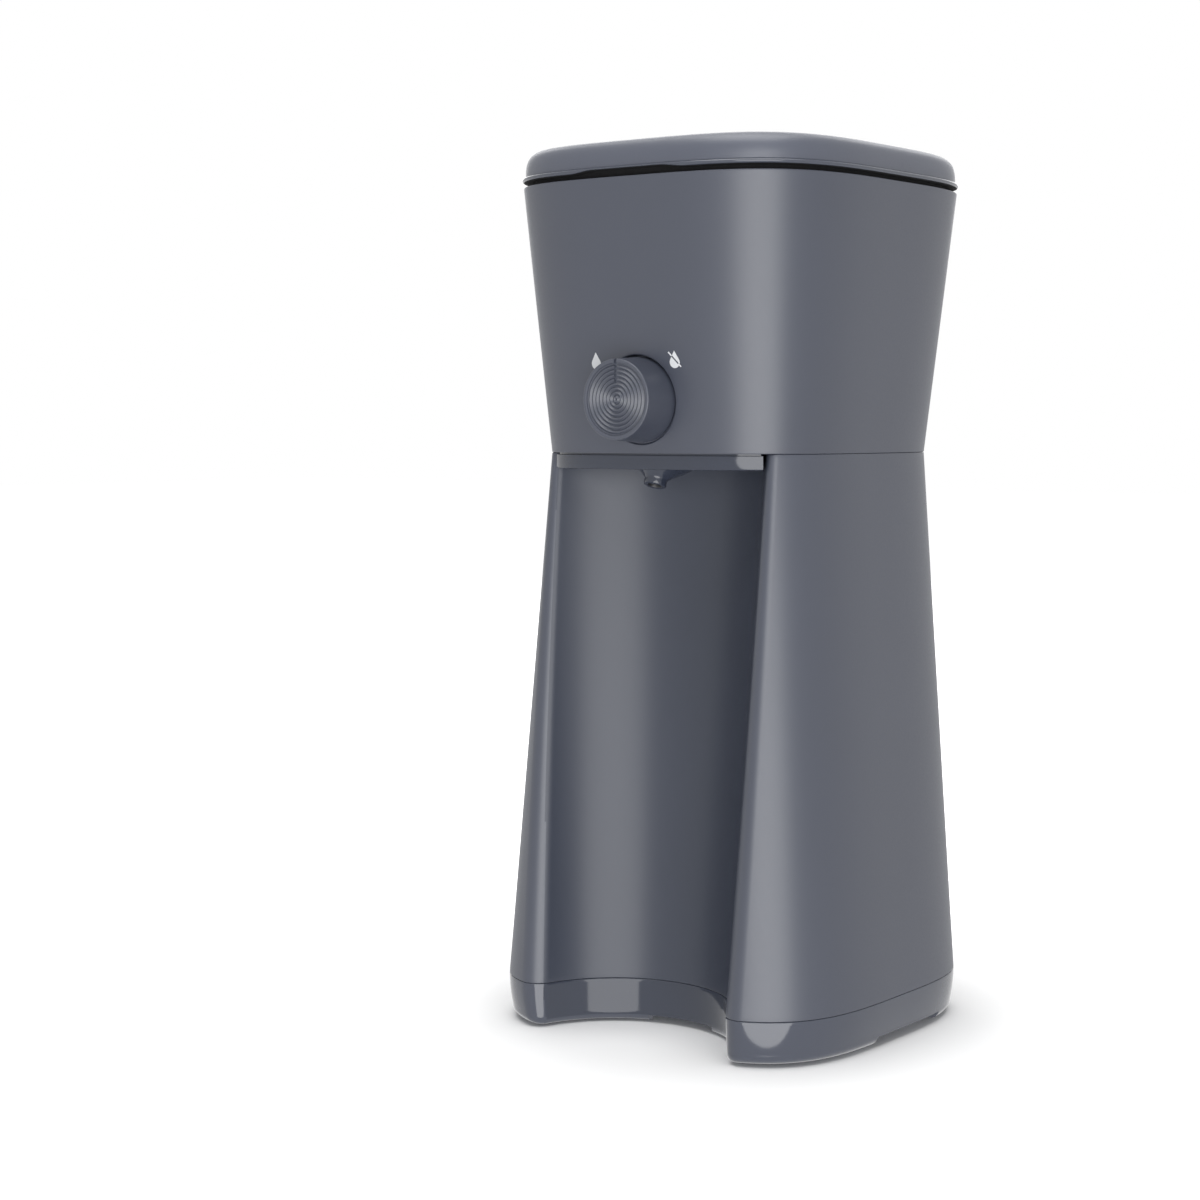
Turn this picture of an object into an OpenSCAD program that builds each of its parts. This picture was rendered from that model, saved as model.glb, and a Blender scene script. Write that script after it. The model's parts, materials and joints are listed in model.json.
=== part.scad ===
// Single-serve iced coffee maker: a foot, a column with a concave bay for a tumbler, a head with the
// brewing parts, a knob for the drip valve and a lid hinged at the back. Front is -Y, up is +Z.

/* [Body outline] */
// Width of the body at the seam above the foot
foot_w = 143; // [139:1:148]
// Depth of the body at the seam above the foot
foot_d = 140; // [137:1:144]
// Width of the body at the waist seam under the head
waist_w = 115; // [112:1:121]
// Depth of the body at the waist seam under the head
waist_d = 121; // [118:1:124]
// Width of the head at its top
top_w = 131; // [128:1:137]
// Depth of the head at its top
top_d = 144; // [142:1:147]
// How far the middle of the waist lies behind the middle of the foot
waist_back = 3; // [2:0.5:4]
// How far the middle of the head's top lies behind the middle of the foot
top_back = 4.5; // [3.5:0.5:5.5]
// Squareness of the plan outline, where 2 is an ellipse
squareness = 3.6; // [3.4:0.1:4]
// Height of the foot housing
foot_h = 16; // [15:0.5:20]
// Height of the column between foot and waist
column_h = 190; // [182:1:205]
// Height of the head above the waist
head_h = 94.5; // [93:0.5:100]
// Wall of the outer mouldings
wall = 2.5; // [2.2:0.1:2.8]

/* [Tumbler bay] */
// Radius of the bay at the foot
bay_r_foot = 40; // [37:0.5:42]
// Radius of the bay at the waist
bay_r_waist = 51; // [48:0.5:53]
// How far the bay's upright axis lies in front of the body's middle
bay_front = 72.5; // [71.5:0.5:75]
// Radius of the rounded edges beside the bay, at the foot
nose_r = 7; // [5.5:0.5:8]
// Radius of the rounded edges beside the bay, at the waist
nose_r_waist = 3.2; // [3.1:0.1:5]

/* [Foot] */
// Height of the rubber feet below the housing
foot_gap = 0.8; // [0.5:0.1:1.5]
// Inward draft of the housing from its seam to its lower edge
foot_draft = 1; // [0.8:0.1:1.6]
// Radius of the housing's lower edge
foot_fillet = 3.4; // [3:0.1:4.4]
// Height of the floor's underside
floor_z = 5; // [4.6:0.1:6]
// Thickness of the floor
floor_t = 2.5; // [2:0.1:3]
// Radius of a rubber foot
pad_r = 6; // [5:0.5:6.5]
// Length of the finger recess under each side
recess_len = 40; // [30:1:44]
// Height of the finger recess
recess_h = 3.6; // [2:0.1:4]

/* [Lid] */
// Gap between the head's edge and the lid's rim
lid_gap = 0.8; // [0.6:0.1:1.2]
// Height of the lid above its gap
lid_h = 12.2; // [12:0.1:15]
// Height of the rim flange
rim_h = 2; // [1.6:0.1:2.6]
// How far the rim flange stands out past the head
rim_out = 0.5; // [0.3:0.1:1]
// Width of the finger notch in the rim
notch_w = 48; // [40:1:56]
// Wall of the lid
lid_wall = 2.2; // [2:0.1:2.6]
// Radius of the hinge pins
pin_r = 1.5; // [1.2:0.1:1.7]
// Running clearance between a pin and its knuckle
pin_play = 0.05; // [0.02:0.01:0.08]

/* [Knob and valve] */
// Height of the knob's axis above the waist
knob_rise = 18.5; // [18.3:0.1:18.8]
// Radius of the knob at its face
knob_r_face = 13.8; // [13:0.1:14.4]
// Radius of the knob at its back
knob_r_back = 14.7; // [14:0.1:15]
// How far the knob stands out from the floor of its pocket
knob_out = 15.6; // [14:0.2:16.2]
// Number of ridges on the knob's face
ridge_count = 9; // [6:1:10]
// Radius of the stem behind the knob
stem_r = 4; // [3.6:0.1:4.2]
// Running clearance between the stem and its bush
stem_play = 0.06; // [0.03:0.01:0.09]
// Largest turn of the knob to either side, in degrees
knob_turn = 50; // [40:1:55]
// Lift of the valve for one radian of knob turn
valve_pitch = 2.2; // [1.6:0.1:2.3]
// Travel of the switch button for one radian of knob turn
switch_pitch = 0.6; // [0.4:0.05:0.65]
// How far the valve lies inside the edge of the basket's floor
valve_inset = 9; // [8.8:0.1:9.3]

/* [Spout and plate] */
// Height of the fascia plate below the waist
fascia_h = 5.5; // [4.5:0.1:6]
// Forward tilt of the spout, in degrees
spout_tilt = 15; // [8:1:18]
// Length of the spout below the fascia plate
spout_len = 7; // [6:0.1:9]
// Radius of the spout's tip
spout_r = 4; // [3.6:0.1:4.6]
// Radius of the spout's bore
spout_bore = 2.3; // [1.8:0.1:2.6]

/* [Brewing parts] */
// Radius of the brew basket at its floor
basket_r_low = 36; // [35.7:0.1:36.4]
// Radius of the brew basket under its rim
basket_r_top = 42; // [41:0.1:42.5]
// Distance from the head's front edge back to the basket's wall
basket_gap = 8.5; // [8.2:0.1:8.8]
// Height of the basket's floor above the waist
basket_rise = 38; // [37.7:0.1:38.5]
// Height of the filter's floor above the basket's floor
filter_rise = 24; // [23:0.5:28]
// Height of the reservoir's floor
tank_z = 90; // [86:1:96]
// Distance from the basket's wall back to the reservoir's front
tank_gap = 5; // [4.8:0.1:6]
// Height of the heater tube's middle
heater_z = 38; // [37:0.5:42]
// Half the distance between the heater's legs
heater_x = 24; // [22:0.5:25]
// Radius of the heater tube
heater_r = 5; // [4.4:0.1:5.4]
// Outer radius of the hoses
hose_r = 6; // [5.4:0.1:6.3]
// Radius of the barbs that the hoses push onto
barb_r = 4; // [3.4:0.1:4.2]
// Radius of the hole through the cord gland
cord_r = 3.4; // [2.8:0.1:3.8]

/* [Hidden] */
$fn = 64;

body = "#5f626b";
dark = "#3c3e44";
steel = "#b9bcc0";
ring_n = 96;
side_n = 72;
nose_n = 10;
waist_z = foot_h + column_h;
top_z = waist_z + head_h;
floor_top = floor_z + floor_t;
fascia_z = waist_z - fascia_h;
plate_t = 2.5;
plate_top = waist_z + plate_t;
plate_back = 8;
deck_z = top_z - 10.5;
deck_t = 3;
deck_top = deck_z + deck_t;
lid_z = top_z + lid_gap;
lid_w = top_w + 2 * rim_out;
lid_d = top_d + 2 * rim_out;
hinge_y = top_back + top_d / 2 - 4.5;
hinge_z = top_z + 2.5;
hinge_r = 3.2;
ear_x = [10, 14.6];
far_ear_x = [25.4, 30];
knuckle_x = [15, 25];
knob_z = waist_z + knob_rise;
pocket_r = knob_r_back + 0.6;
pocket_y = waist_back - waist_d / 2 + 0.2;
hub_y = pocket_y + 5.2;
front_y = min(top_back - lid_d / 2, pocket_y - knob_out);
middle_y = (front_y + top_back + lid_d / 2) / 2;
valve_room = 3.6;
basket_y = max(top_back - top_d / 2 + basket_gap + basket_r_top,
  hub_y + valve_room + basket_r_low - valve_inset);
valve_y = basket_y - basket_r_low + valve_inset;
tank_front = basket_y + basket_r_top + tank_gap;
basket_z = waist_z + basket_rise;
basket_floor = basket_z + 2;
rest_lift = valve_pitch * knob_turn * PI / 180;
seal_z = basket_floor + rest_lift + 0.1;
cage_z = basket_floor + 15;
cam_r = 6.5;
tip_z = knob_z + cam_r + 0.4;
switch_r = 4.95;
bearing_y = valve_y + 7;
switch_y = bearing_y + 8;
button_top = knob_z - switch_r - 0.3;
switch_top = button_top - 0.8;
filter_z = basket_z + filter_rise;
barb_y = (tank_front + waist_back + waist_d / 2) / 2 - 2.5;
barb_top = heater_z + 16;
riser_r = basket_r_top + 11.1;
riser_turn = 47.3;
riser_x = riser_r * cos(riser_turn);
riser_y = basket_y + riser_r * sin(riser_turn);
clamp_x = 38;
clamp_y = 20;
gland_z = foot_h + 14;
gland_y = foot_d / 2 - 1.2;
screw_x = foot_w / 2 - 14;
screw_ys = [-24, 20];
pads = [[foot_w / 2 - 21, -38], [foot_w / 2 - 23, 40]];
joint_x = waist_w / 2 - 10;
joint_ys = [-16, 18];
plate_x = waist_w / 2 - 16;
plate_y = -32;
liner_z = lid_z + 1.3;
shower_z = lid_z - 2.1;

function mix(a, b, t) = a + (b - a) * t;

// A point and an outward direction on the plan outline, at a polar angle
function outline_r(w, d, phi) =
  pow(pow(abs(cos(phi)) * 2 / w, squareness) + pow(abs(sin(phi)) * 2 / d, squareness), -1 / squareness);
function outline_p(w, d, yc, phi) = [outline_r(w, d, phi) * cos(phi), yc + outline_r(w, d, phi) * sin(phi)];
function outline_g(w, d, p) = [sign(p.x) * pow(abs(p.x) * 2 / w, squareness - 1) / w,
  sign(p.y) * pow(abs(p.y) * 2 / d, squareness - 1) / d];
function outline_n(w, d, phi) = let (g = outline_g(w, d, outline_p(w, d, 0, phi))) g / norm(g);
function loop(w, d, yc) = [for (i = [0 : ring_n - 1]) outline_p(w, d, yc, 360 * i / ring_n)];
function at(points, z) = [for (p = points) [p.x, p.y, z]];

// The outline with the bay cut into its front: round the back first, then along the bay
function nose_miss(w, d, yc, r, rn, phi) =
  norm(outline_p(w, d, yc, phi) - rn * outline_n(w, d, phi) + [0, bay_front]) - r - rn;
function nose_phi(w, d, yc, r, rn, low = -90, high = 0, left = 22) =
  let (middle = (low + high) / 2)
  left == 0 ? middle
  : nose_miss(w, d, yc, r, rn, middle) < 0 ? nose_phi(w, d, yc, r, rn, middle, high, left - 1)
  : nose_phi(w, d, yc, r, rn, low, middle, left - 1);
function polar(c, r, a) = c + r * [cos(a), sin(a)];
function bay_loop(w, d, yc, r, rn) =
  let (phi = nose_phi(w, d, yc, r, rn),
    out = outline_n(w, d, phi),
    c = outline_p(w, d, yc, phi) - rn * out,
    a_out = atan2(out.y, out.x),
    a_bay = atan2(c.y + bay_front, c.x),
    right = [for (i = [1 : nose_n]) polar(c, rn, mix(a_out, a_bay - 180, i / nose_n))],
    bay_n = side_n - 2 * nose_n,
    arc = [for (i = [1 : bay_n - 1]) polar([0, -bay_front], r, mix(180 - a_bay, a_bay, i / bay_n))])
  concat([for (i = [0 : side_n]) outline_p(w, d, yc, mix(phi, 180 - phi, i / side_n))],
    [for (p = right) [-p.x, p.y]], arc, [for (i = [nose_n - 1 : -1 : 0]) right[i]]);

// Outlines of the foot, the column and the head at a height, moved inwards by an inset
function foot_ring(inset, z, bay_inset) =
  at(bay_loop(foot_w - 2 * inset, foot_d - 2 * inset, 0, bay_r_foot + bay_inset,
    max(nose_r - inset, 1.2)), z);
function column_t(z) = (z - foot_h) / column_h;
function column_ring(inset, z) =
  let (t = column_t(z))
  at(bay_loop(mix(foot_w, waist_w, t) - 2 * inset, mix(foot_d, waist_d, t) - 2 * inset, waist_back * t,
    mix(bay_r_foot, bay_r_waist, t) + inset, mix(nose_r, nose_r_waist, t) - inset), z);
function head_t(z) = (z - waist_z) / head_h;
function head_w(z) = mix(waist_w, top_w, head_t(z));
function head_d(z) = mix(waist_d, top_d, head_t(z));
function head_back(z) = mix(waist_back, top_back, head_t(z));
function head_loop(inset, z) = loop(head_w(z) - 2 * inset, head_d(z) - 2 * inset, head_back(z));
function head_ring(inset, z) = at(head_loop(inset, z), z);
function lid_ring(inset, z) = at(loop(lid_w - 2 * inset, lid_d - 2 * inset, top_back), z);

// The back part of the head's outline, closed by a straight front, for the reservoir
function front_phi(w, d, yc, y, low = 0, high = 89, left = 22) =
  let (middle = (low + high) / 2)
  left == 0 ? middle
  : outline_p(w, d, yc, middle).y < y ? front_phi(w, d, yc, y, middle, high, left - 1)
  : front_phi(w, d, yc, y, low, middle, left - 1);
function tank_loop(inset, z, front) =
  let (h = max(z, waist_z), w = head_w(h) - 2 * inset, d = head_d(h) - 2 * inset, yc = head_back(h),
    phi = front_phi(w, d, yc, front))
  [for (i = [0 : 48]) outline_p(w, d, yc, mix(phi, 180 - phi, i / 48))];
function tank_ring(inset, z, front) = at(tank_loop(inset, z, front), z);

// A smooth path through points, and rings of points across it
function bend(p, i, t) =
  let (a = p[max(i - 1, 0)], b = p[i], c = p[i + 1], d = p[min(i + 2, len(p) - 1)])
  0.5 * (2 * b + (c - a) * t + (2 * a - 5 * b + 4 * c - d) * t * t + (3 * b - a - 3 * c + d) * t * t * t);
function path(p, n) =
  concat([for (i = [0 : len(p) - 2], k = [0 : n - 1]) bend(p, i, k / n)], [p[len(p) - 1]]);
function unit(v) = v / norm(v);
function along(p, i) = unit(p[min(i + 1, len(p) - 1)] - p[max(i - 1, 0)]);
function across(p, r, sides, side) =
  [for (i = [0 : len(p) - 1])
    let (t = along(p, i), u = unit(cross(side, t)), v = cross(t, u))
    [for (k = [0 : sides - 1]) p[i] + r * (u * cos(360 * k / sides) + v * sin(360 * k / sides))]];

// A solid through rings of equal length: closed round on itself, or with an end on the first and last
module loft(rings, closed = false, strip = false) {
  m = len(rings[0]);
  last = (len(rings) - 1) * m;
  half = m / 2;
  walls = [for (j = [0 : len(rings) - (closed ? 1 : 2)], i = [0 : m - 1])
    let (a = j * m, b = (j + 1) % len(rings) * m, n = (i + 1) % m)
    each [[a + i, b + i, b + n], [a + i, b + n, a + n]]];
  fan = [for (i = [1 : m - 2]) [0, i, i + 1]];
  band = concat([[0, 1, m - 1]],
    [for (i = [1 : half - 2]) each [[i, i + 1, m - i - 1], [i, m - i - 1, m - i]]],
    [[half - 1, half, half + 1]]);
  end = strip ? band : fan;
  ends = closed ? [] : concat(end, [for (f = end) [last + f[0], last + f[2], last + f[1]]]);
  polyhedron([for (r = rings) each r], concat(walls, ends), convexity = 10);
}

module tube(points, r, sides = 8, steps = 5, side = [1, 0, 0]) {
  loft(across(path(points, steps), r, sides, side));
}

module hose(middle) {
  outer = across(middle, hose_r, 20, [0, 1, 0]);
  inner = across(middle, barb_r / cos(180 / 20), 20, [0, 1, 0]);
  loft(concat(outer, [for (i = [len(inner) - 1 : -1 : 0]) inner[i]]), closed = true);
}

module both_sides() {
  children();
  mirror([1, 0, 0]) children();
}

// A cylinder along X from one place to another
module bar_x(x0, x1, r) {
  translate([x0, 0, 0]) rotate([0, 90, 0]) cylinder(h = x1 - x0, r = r);
}

// A cylinder along Y from one place to another
module bar_y(y0, y1, r) {
  translate([0, y0, 0]) rotate([-90, 0, 0]) cylinder(h = y1 - y0, r = r);
}

// An upright boss with a rib to the side wall
module side_boss(x, y, z0, z1, wall_x, rib_z0) {
  translate([x, y, z0]) cylinder(h = z1 - z0, r = 4.5);
  translate([x, y - 1.5, rib_z0]) cube([wall_x - x, 3, z1 - rib_z0]);
}

module foot_housing() {
  lip = foot_draft + foot_fillet + 1.6;
  edge = [for (a = [0 : 22.5 : 90])
    [foot_draft + foot_fillet * (1 - sin(a)), foot_gap + foot_fillet * (1 - cos(a)), 2 - 1.6 * sin(a)]];
  profile = concat([[lip, floor_z, 4], [lip, foot_gap, 4]], edge,
    [[0, foot_h, 0], [wall, foot_h, wall], [foot_draft + wall, floor_top, wall]]);
  color(body) difference() {
    union() {
      loft([for (p = profile) foot_ring(p[0], p[1], p[2])], strip = true);
      both_sides() {
        translate([clamp_x, clamp_y, floor_top - 0.5])
          cylinder(h = heater_z + heater_r - floor_top + 0.5, r = 4);
        translate([heater_x - 5, clamp_y - 4, floor_top - 0.5])
          cube([10, 8, heater_z - heater_r - 6.2 - floor_top + 0.5]);
      }
    }
    both_sides() {
      translate([foot_w / 2 - 9.5, -10, 0]) cube([20, recess_len, recess_h]);
      for (p = pads) translate([p.x, p.y, 0]) cylinder(h = foot_h, r = 2);
      for (y = screw_ys) translate([screw_x, y, 0]) cylinder(h = foot_h, r = 1.7);
      translate([clamp_x, clamp_y, heater_z - 6]) cylinder(h = heater_r + 8, r = 1.5);
    }
    translate([-14, -bay_front, 0]) cube([28, bay_r_foot + 12, foot_gap + 1.8]);
  }
}

module rubber_feet() {
  color("#26272a") both_sides() for (p = pads) translate([p.x, p.y, 0]) {
    cylinder(h = floor_z, r = pad_r);
    cylinder(h = floor_top + 1, r = 2);
  }
}

module screw(z, length) {
  translate([0, 0, z - 2.2]) cylinder(h = 2.2, r = 3.4);
  translate([0, 0, z - 0.5]) cylinder(h = length + 0.5, r = 1.5);
}

module foot_screws() {
  color(steel) both_sides() for (y = screw_ys) translate([screw_x, y, 0]) screw(floor_z, 14);
}

module column_shell() {
  color(body) difference() {
    union() {
      loft([column_ring(0, foot_h), column_ring(0, waist_z), column_ring(wall, waist_z),
        column_ring(wall, foot_h)], closed = true);
      both_sides() {
        for (y = screw_ys)
          side_boss(screw_x, y, floor_top, foot_h + 12, foot_w / 2 - 0.75 * wall, foot_h + 1);
        for (y = joint_ys)
          side_boss(joint_x, y, waist_z - 10, waist_z, waist_w / 2 - 0.5 * wall, waist_z - 10);
      }
    }
    both_sides() {
      for (y = screw_ys) translate([screw_x, y, floor_top - 1]) cylinder(h = 16, r = 1.5);
      for (y = joint_ys) translate([joint_x, y, waist_z - 11]) cylinder(h = 12, r = 1.7);
    }
    translate([0, 0, gland_z]) {
      bar_y(gland_y - 12, gland_y + 4, 6.05);
      bar_y(gland_y, gland_y + 4, 8.7);
    }
  }
}

module cord_gland() {
  color(dark) translate([0, 0, gland_z]) difference() {
    union() {
      bar_y(gland_y - 9, gland_y + 0.5, 6);
      bar_y(gland_y, gland_y + 1.1, 8.5);
    }
    bar_y(gland_y - 10, gland_y + 2, cord_r);
  }
}

module gland_nut() {
  color(dark) translate([0, 0, gland_z]) difference() {
    translate([0, gland_y - 3.6 - wall, 0]) rotate([90, 30, 0]) cylinder(h = 3.4, r = 9.5, $fn = 6);
    bar_y(gland_y - 12, gland_y, 6);
  }
}

module terminal_block() {
  color("#d9d6cc") difference() {
    translate([-16, 42, floor_top]) cube([32, 12, 13]);
    for (x = [-10, 0, 10]) translate([x, 48, floor_top + 7]) cylinder(h = 8, r = 2.2);
  }
}

module heater_u(r, z, back) {
  translate([0, 10, z]) rotate([0, 0, 180]) rotate_extrude(angle = 180)
    translate([heater_x, 0]) circle(r = r);
  both_sides() translate([heater_x, 0, z]) bar_y(10, back, r);
}

module heater() {
  color("#a9acb0") {
    heater_u(heater_r, heater_z, barb_y - 5);
    heater_u(3.6, heater_z - heater_r - 2.6, barb_y + 9);
    both_sides() {
      translate([heater_x - 6.5, barb_y - 6, heater_z - heater_r - 0.5]) cube([13, 12, 2 * heater_r + 1]);
      translate([heater_x, barb_y, heater_z]) cylinder(h = barb_top - heater_z, r = barb_r);
    }
  }
}

module heater_terminals() {
  color("#e8e6df") both_sides() translate([heater_x, 0, heater_z - heater_r - 2.6]) {
    bar_y(barb_y + 9, barb_y + 13, 2.6);
    translate([-0.4, barb_y + 12.5, -2]) cube([0.8, 6, 4]);
  }
}

module heater_clamp() {
  z = heater_z + heater_r;
  color(steel) difference() {
    translate([-clamp_x - 4, clamp_y - 5, z]) cube([2 * clamp_x + 8, 10, 1.6]);
    both_sides() translate([clamp_x, clamp_y, z - 1]) cylinder(h = 4, r = 1.6);
  }
}

module clamp_screws() {
  z = heater_z + heater_r + 1.6;
  color(steel) both_sides() translate([clamp_x, clamp_y, z]) mirror([0, 0, 1]) screw(0, 12);
}

module thermostat() {
  color("#6b6d70") translate([heater_x, clamp_y, heater_z + heater_r + 1.6]) {
    cylinder(h = 7, r = 7.5);
    cylinder(h = 9, r = 4.5);
    translate([-0.4, -7, 8.5]) cube([0.8, 14, 6]);
  }
}

module thermal_fuses() {
  color("#c9b98f") for (y = [-2.2, 2.2])
    translate([-heater_x, clamp_y + y, heater_z + heater_r + 1.6 + 1.9]) bar_x(-8, 8, 1.9);
}

module wiring() {
  top = floor_top + 13;
  fuse_z = heater_z + heater_r + 3.5;
  tab_z = heater_z + heater_r + 16.2;
  end_z = heater_z - heater_r - 2.6;
  end_y = barb_y + 15.5;
  color("#d8d8d4") {
    for (x = [-1, 1]) tube([[2.2 * x, gland_y - 9.5, gland_z], [3 * x, gland_y - 13, gland_z],
      [5 * x, 51, top + 5], [10 * x, 48, top + 1], [10 * x, 48, top - 5]], 1);
    tube([[0, 48, top - 5], [0, 48, top + 3], [-4, 40, 44], [-6, 26, 64], [-6, 20, 90], [-6, 20, 150],
      [-6, 16, waist_z], [-6, 4, plate_top + 7], [-6, switch_y + 4.6, plate_top + 5]], 1);
    tube([[heater_x, clamp_y - 5.5, tab_z], [heater_x, clamp_y - 5.5, tab_z + 5], [14, 8, 80], [8, 14, 100],
      [6, 18, 150], [6, 16, waist_z], [6, 4, plate_top + 7], [6, switch_y + 4.6, plate_top + 5]], 1);
    tube([[heater_x, clamp_y + 5.5, tab_z], [heater_x, clamp_y + 5.5, tab_z + 4], [heater_x - 10, 32, 66],
      [11, 46, 50], [13, end_y, 36], [heater_x - 5, end_y, end_z], [heater_x - 0.5, end_y, end_z]], 1);
    tube([[-heater_x - 8.1, clamp_y - 2.2, fuse_z], [-heater_x - 9.6, clamp_y - 2.2, fuse_z],
      [-heater_x - 10, clamp_y - 1, fuse_z + 3], [-heater_x - 10, clamp_y + 1, fuse_z + 3],
      [-heater_x - 9.6, clamp_y + 2.2, fuse_z], [-heater_x - 8.1, clamp_y + 2.2, fuse_z]],
      0.8, side = [0.3, 0, 1]);
    tube([[-heater_x + 8.1, clamp_y + 2.2, fuse_z], [-heater_x + 10, clamp_y + 2.4, fuse_z],
      [-heater_x + 14, clamp_y + 7, fuse_z], [-11, 36, 44],
      [-13, end_y - 1, 37], [-heater_x + 5, end_y, end_z], [-heater_x + 0.5, end_y, end_z]], 0.9);
  }
}

module check_valve() {
  color("#dcdcd8") translate([-heater_x, barb_y, tank_z]) rotate_extrude()
    polygon([[2.4, -28], [barb_r, -28], [barb_r, -16], [7, -14], [7, -3], [9, -3], [9, 0], [5, 0], [5, 2.5],
      [2.6, 2.5], [2.6, 0], [4.4, -2], [4.4, -12], [2.4, -12]]);
}

module check_ball() {
  color(steel) translate([-heater_x, barb_y, tank_z - 12 + 2.3]) sphere(r = 3.2);
}

module inlet_hose() {
  low = heater_z + heater_r + 0.5;
  color("#e6e4dd") translate([-heater_x, barb_y, low]) difference() {
    cylinder(h = tank_z - 16 - low, r = hose_r);
    translate([0, 0, -1]) cylinder(h = tank_z - low, r = barb_r);
  }
}

module riser_hose() {
  low = heater_z + heater_r + 0.5;
  high = deck_z - 2;
  curve = [for (i = [0 : 12]) let (t = i / 12, s = t * t * (3 - 2 * t))
    [mix(heater_x, riser_x, s), mix(barb_y, riser_y, s), low + mix(11, 43, t)]];
  color("#e6e4dd") hose(concat([[heater_x, barb_y, low]], curve, [[riser_x, riser_y, high]]));
}

module hose_clip(x, y, z) {
  color(steel) translate([x, y, z]) difference() {
    union() {
      cylinder(h = 5, r = hose_r + 1);
      translate([hose_r, -2, 0]) cube([3, 4, 5]);
    }
    translate([0, 0, -1]) cylinder(h = 7, r = hose_r);
    translate([hose_r - 1, -0.6, -1]) cube([6, 1.2, 7]);
  }
}

module hose_clips() {
  hose_clip(-heater_x, barb_y, heater_z + heater_r + 3);
  hose_clip(heater_x, barb_y, heater_z + heater_r + 2);
  hose_clip(-heater_x, barb_y, tank_z - 24);
  hose_clip(riser_x, riser_y, deck_z - 11);
}

module riser_spout() {
  color("#dcdcd8") translate([riser_x, riser_y, deck_z]) rotate_extrude()
    polygon([[2.6, -16], [barb_r, -16], [barb_r, -1], [5.5, -0.4], [5.5, deck_t], [6.5, deck_t],
      [6.5, deck_t + 1.6], [5, deck_t + 2.4], [5, 8.6], [3.6, 8.6], [2.6, 6]]);
}

module reservoir() {
  profile = [[8, tank_z, 0], [5, tank_z + 5, 0], [5, waist_z, 0], [8.5, deck_top, 0], [6, deck_top, -1.2],
    [6, deck_top + 2, -1.2], [10.5, deck_top + 2, 2], [7, waist_z, 2], [7, tank_z + 5, 2],
    [10, tank_z + 2.5, 2]];
  color("#aeb4bc", 0.9) difference() {
    loft([for (p = profile) tank_ring(p[0], p[1], tank_front + p[2])]);
    translate([-heater_x, barb_y, tank_z - 1]) cylinder(h = 10, r = 5);
  }
}

module deck() {
  color(body) difference() {
    translate([0, 0, deck_z]) linear_extrude(deck_t) polygon(head_loop(wall + 0.35, deck_z));
    translate([0, basket_y, deck_z - 1]) cylinder(h = deck_t + 2, r = basket_r_top + 0.8);
    translate([0, 0, deck_z - 1]) linear_extrude(deck_t + 2)
      polygon(tank_loop(8.1, deck_top, tank_front - 0.5));
    translate([riser_x, riser_y, deck_z - 1]) cylinder(h = deck_t + 2, r = 5.5);
  }
}

module hinge_ear(x) {
  translate([x[0], hinge_y, hinge_z]) {
    rotate([0, 90, 0]) cylinder(h = x[1] - x[0], r = hinge_r);
    translate([0, -2.4, deck_top + 1.2 - hinge_z]) cube([x[1] - x[0], 4.6, hinge_z - deck_top - 1.2]);
  }
}

module head_shell() {
  relief = top_z - 4.2;
  color(body) difference() {
    union() {
      difference() {
        union() {
          loft([head_ring(0, waist_z), head_ring(0, top_z), head_ring(wall, top_z), head_ring(wall, deck_z),
            head_ring(wall + 2.6, deck_z), head_ring(wall + 2.6, deck_z - 1.5), head_ring(wall, deck_z - 5),
            head_ring(wall, waist_z)], closed = true);
          translate([0, 0, knob_z]) {
            bar_y(pocket_y - 3, pocket_y + 2.4, pocket_r + 2);
            bar_y(pocket_y, hub_y, 8.5);
          }
          both_sides() {
            for (y = joint_ys)
              side_boss(joint_x, y, waist_z, waist_z + 10, waist_w / 2 - 0.5 * wall, waist_z);
            side_boss(plate_x, plate_y, plate_top, plate_top + 9, waist_w / 2 - 3.2, plate_top);
          }
        }
        translate([0, 0, knob_z]) {
          bar_y(pocket_y - 12, pocket_y, pocket_r);
          bar_y(pocket_y - 1, hub_y + 1, 6);
        }
        translate([-46, hinge_y - 5, relief]) cube([92, 12, 10]);
      }
      both_sides() {
        hinge_ear(ear_x);
        hinge_ear(far_ear_x);
      }
    }
    translate([0, hinge_y, hinge_z]) bar_x(-35, 35, pin_r);
    both_sides() {
      for (y = joint_ys) translate([joint_x, y, waist_z - 1]) cylinder(h = 10, r = 1.5);
      translate([plate_x, plate_y, plate_top - 1]) cylinder(h = 8, r = 1.5);
    }
  }
}

module head_screws() {
  color(steel) both_sides() for (y = joint_ys) translate([joint_x, y, 0]) screw(waist_z - 10, 17);
}

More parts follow.
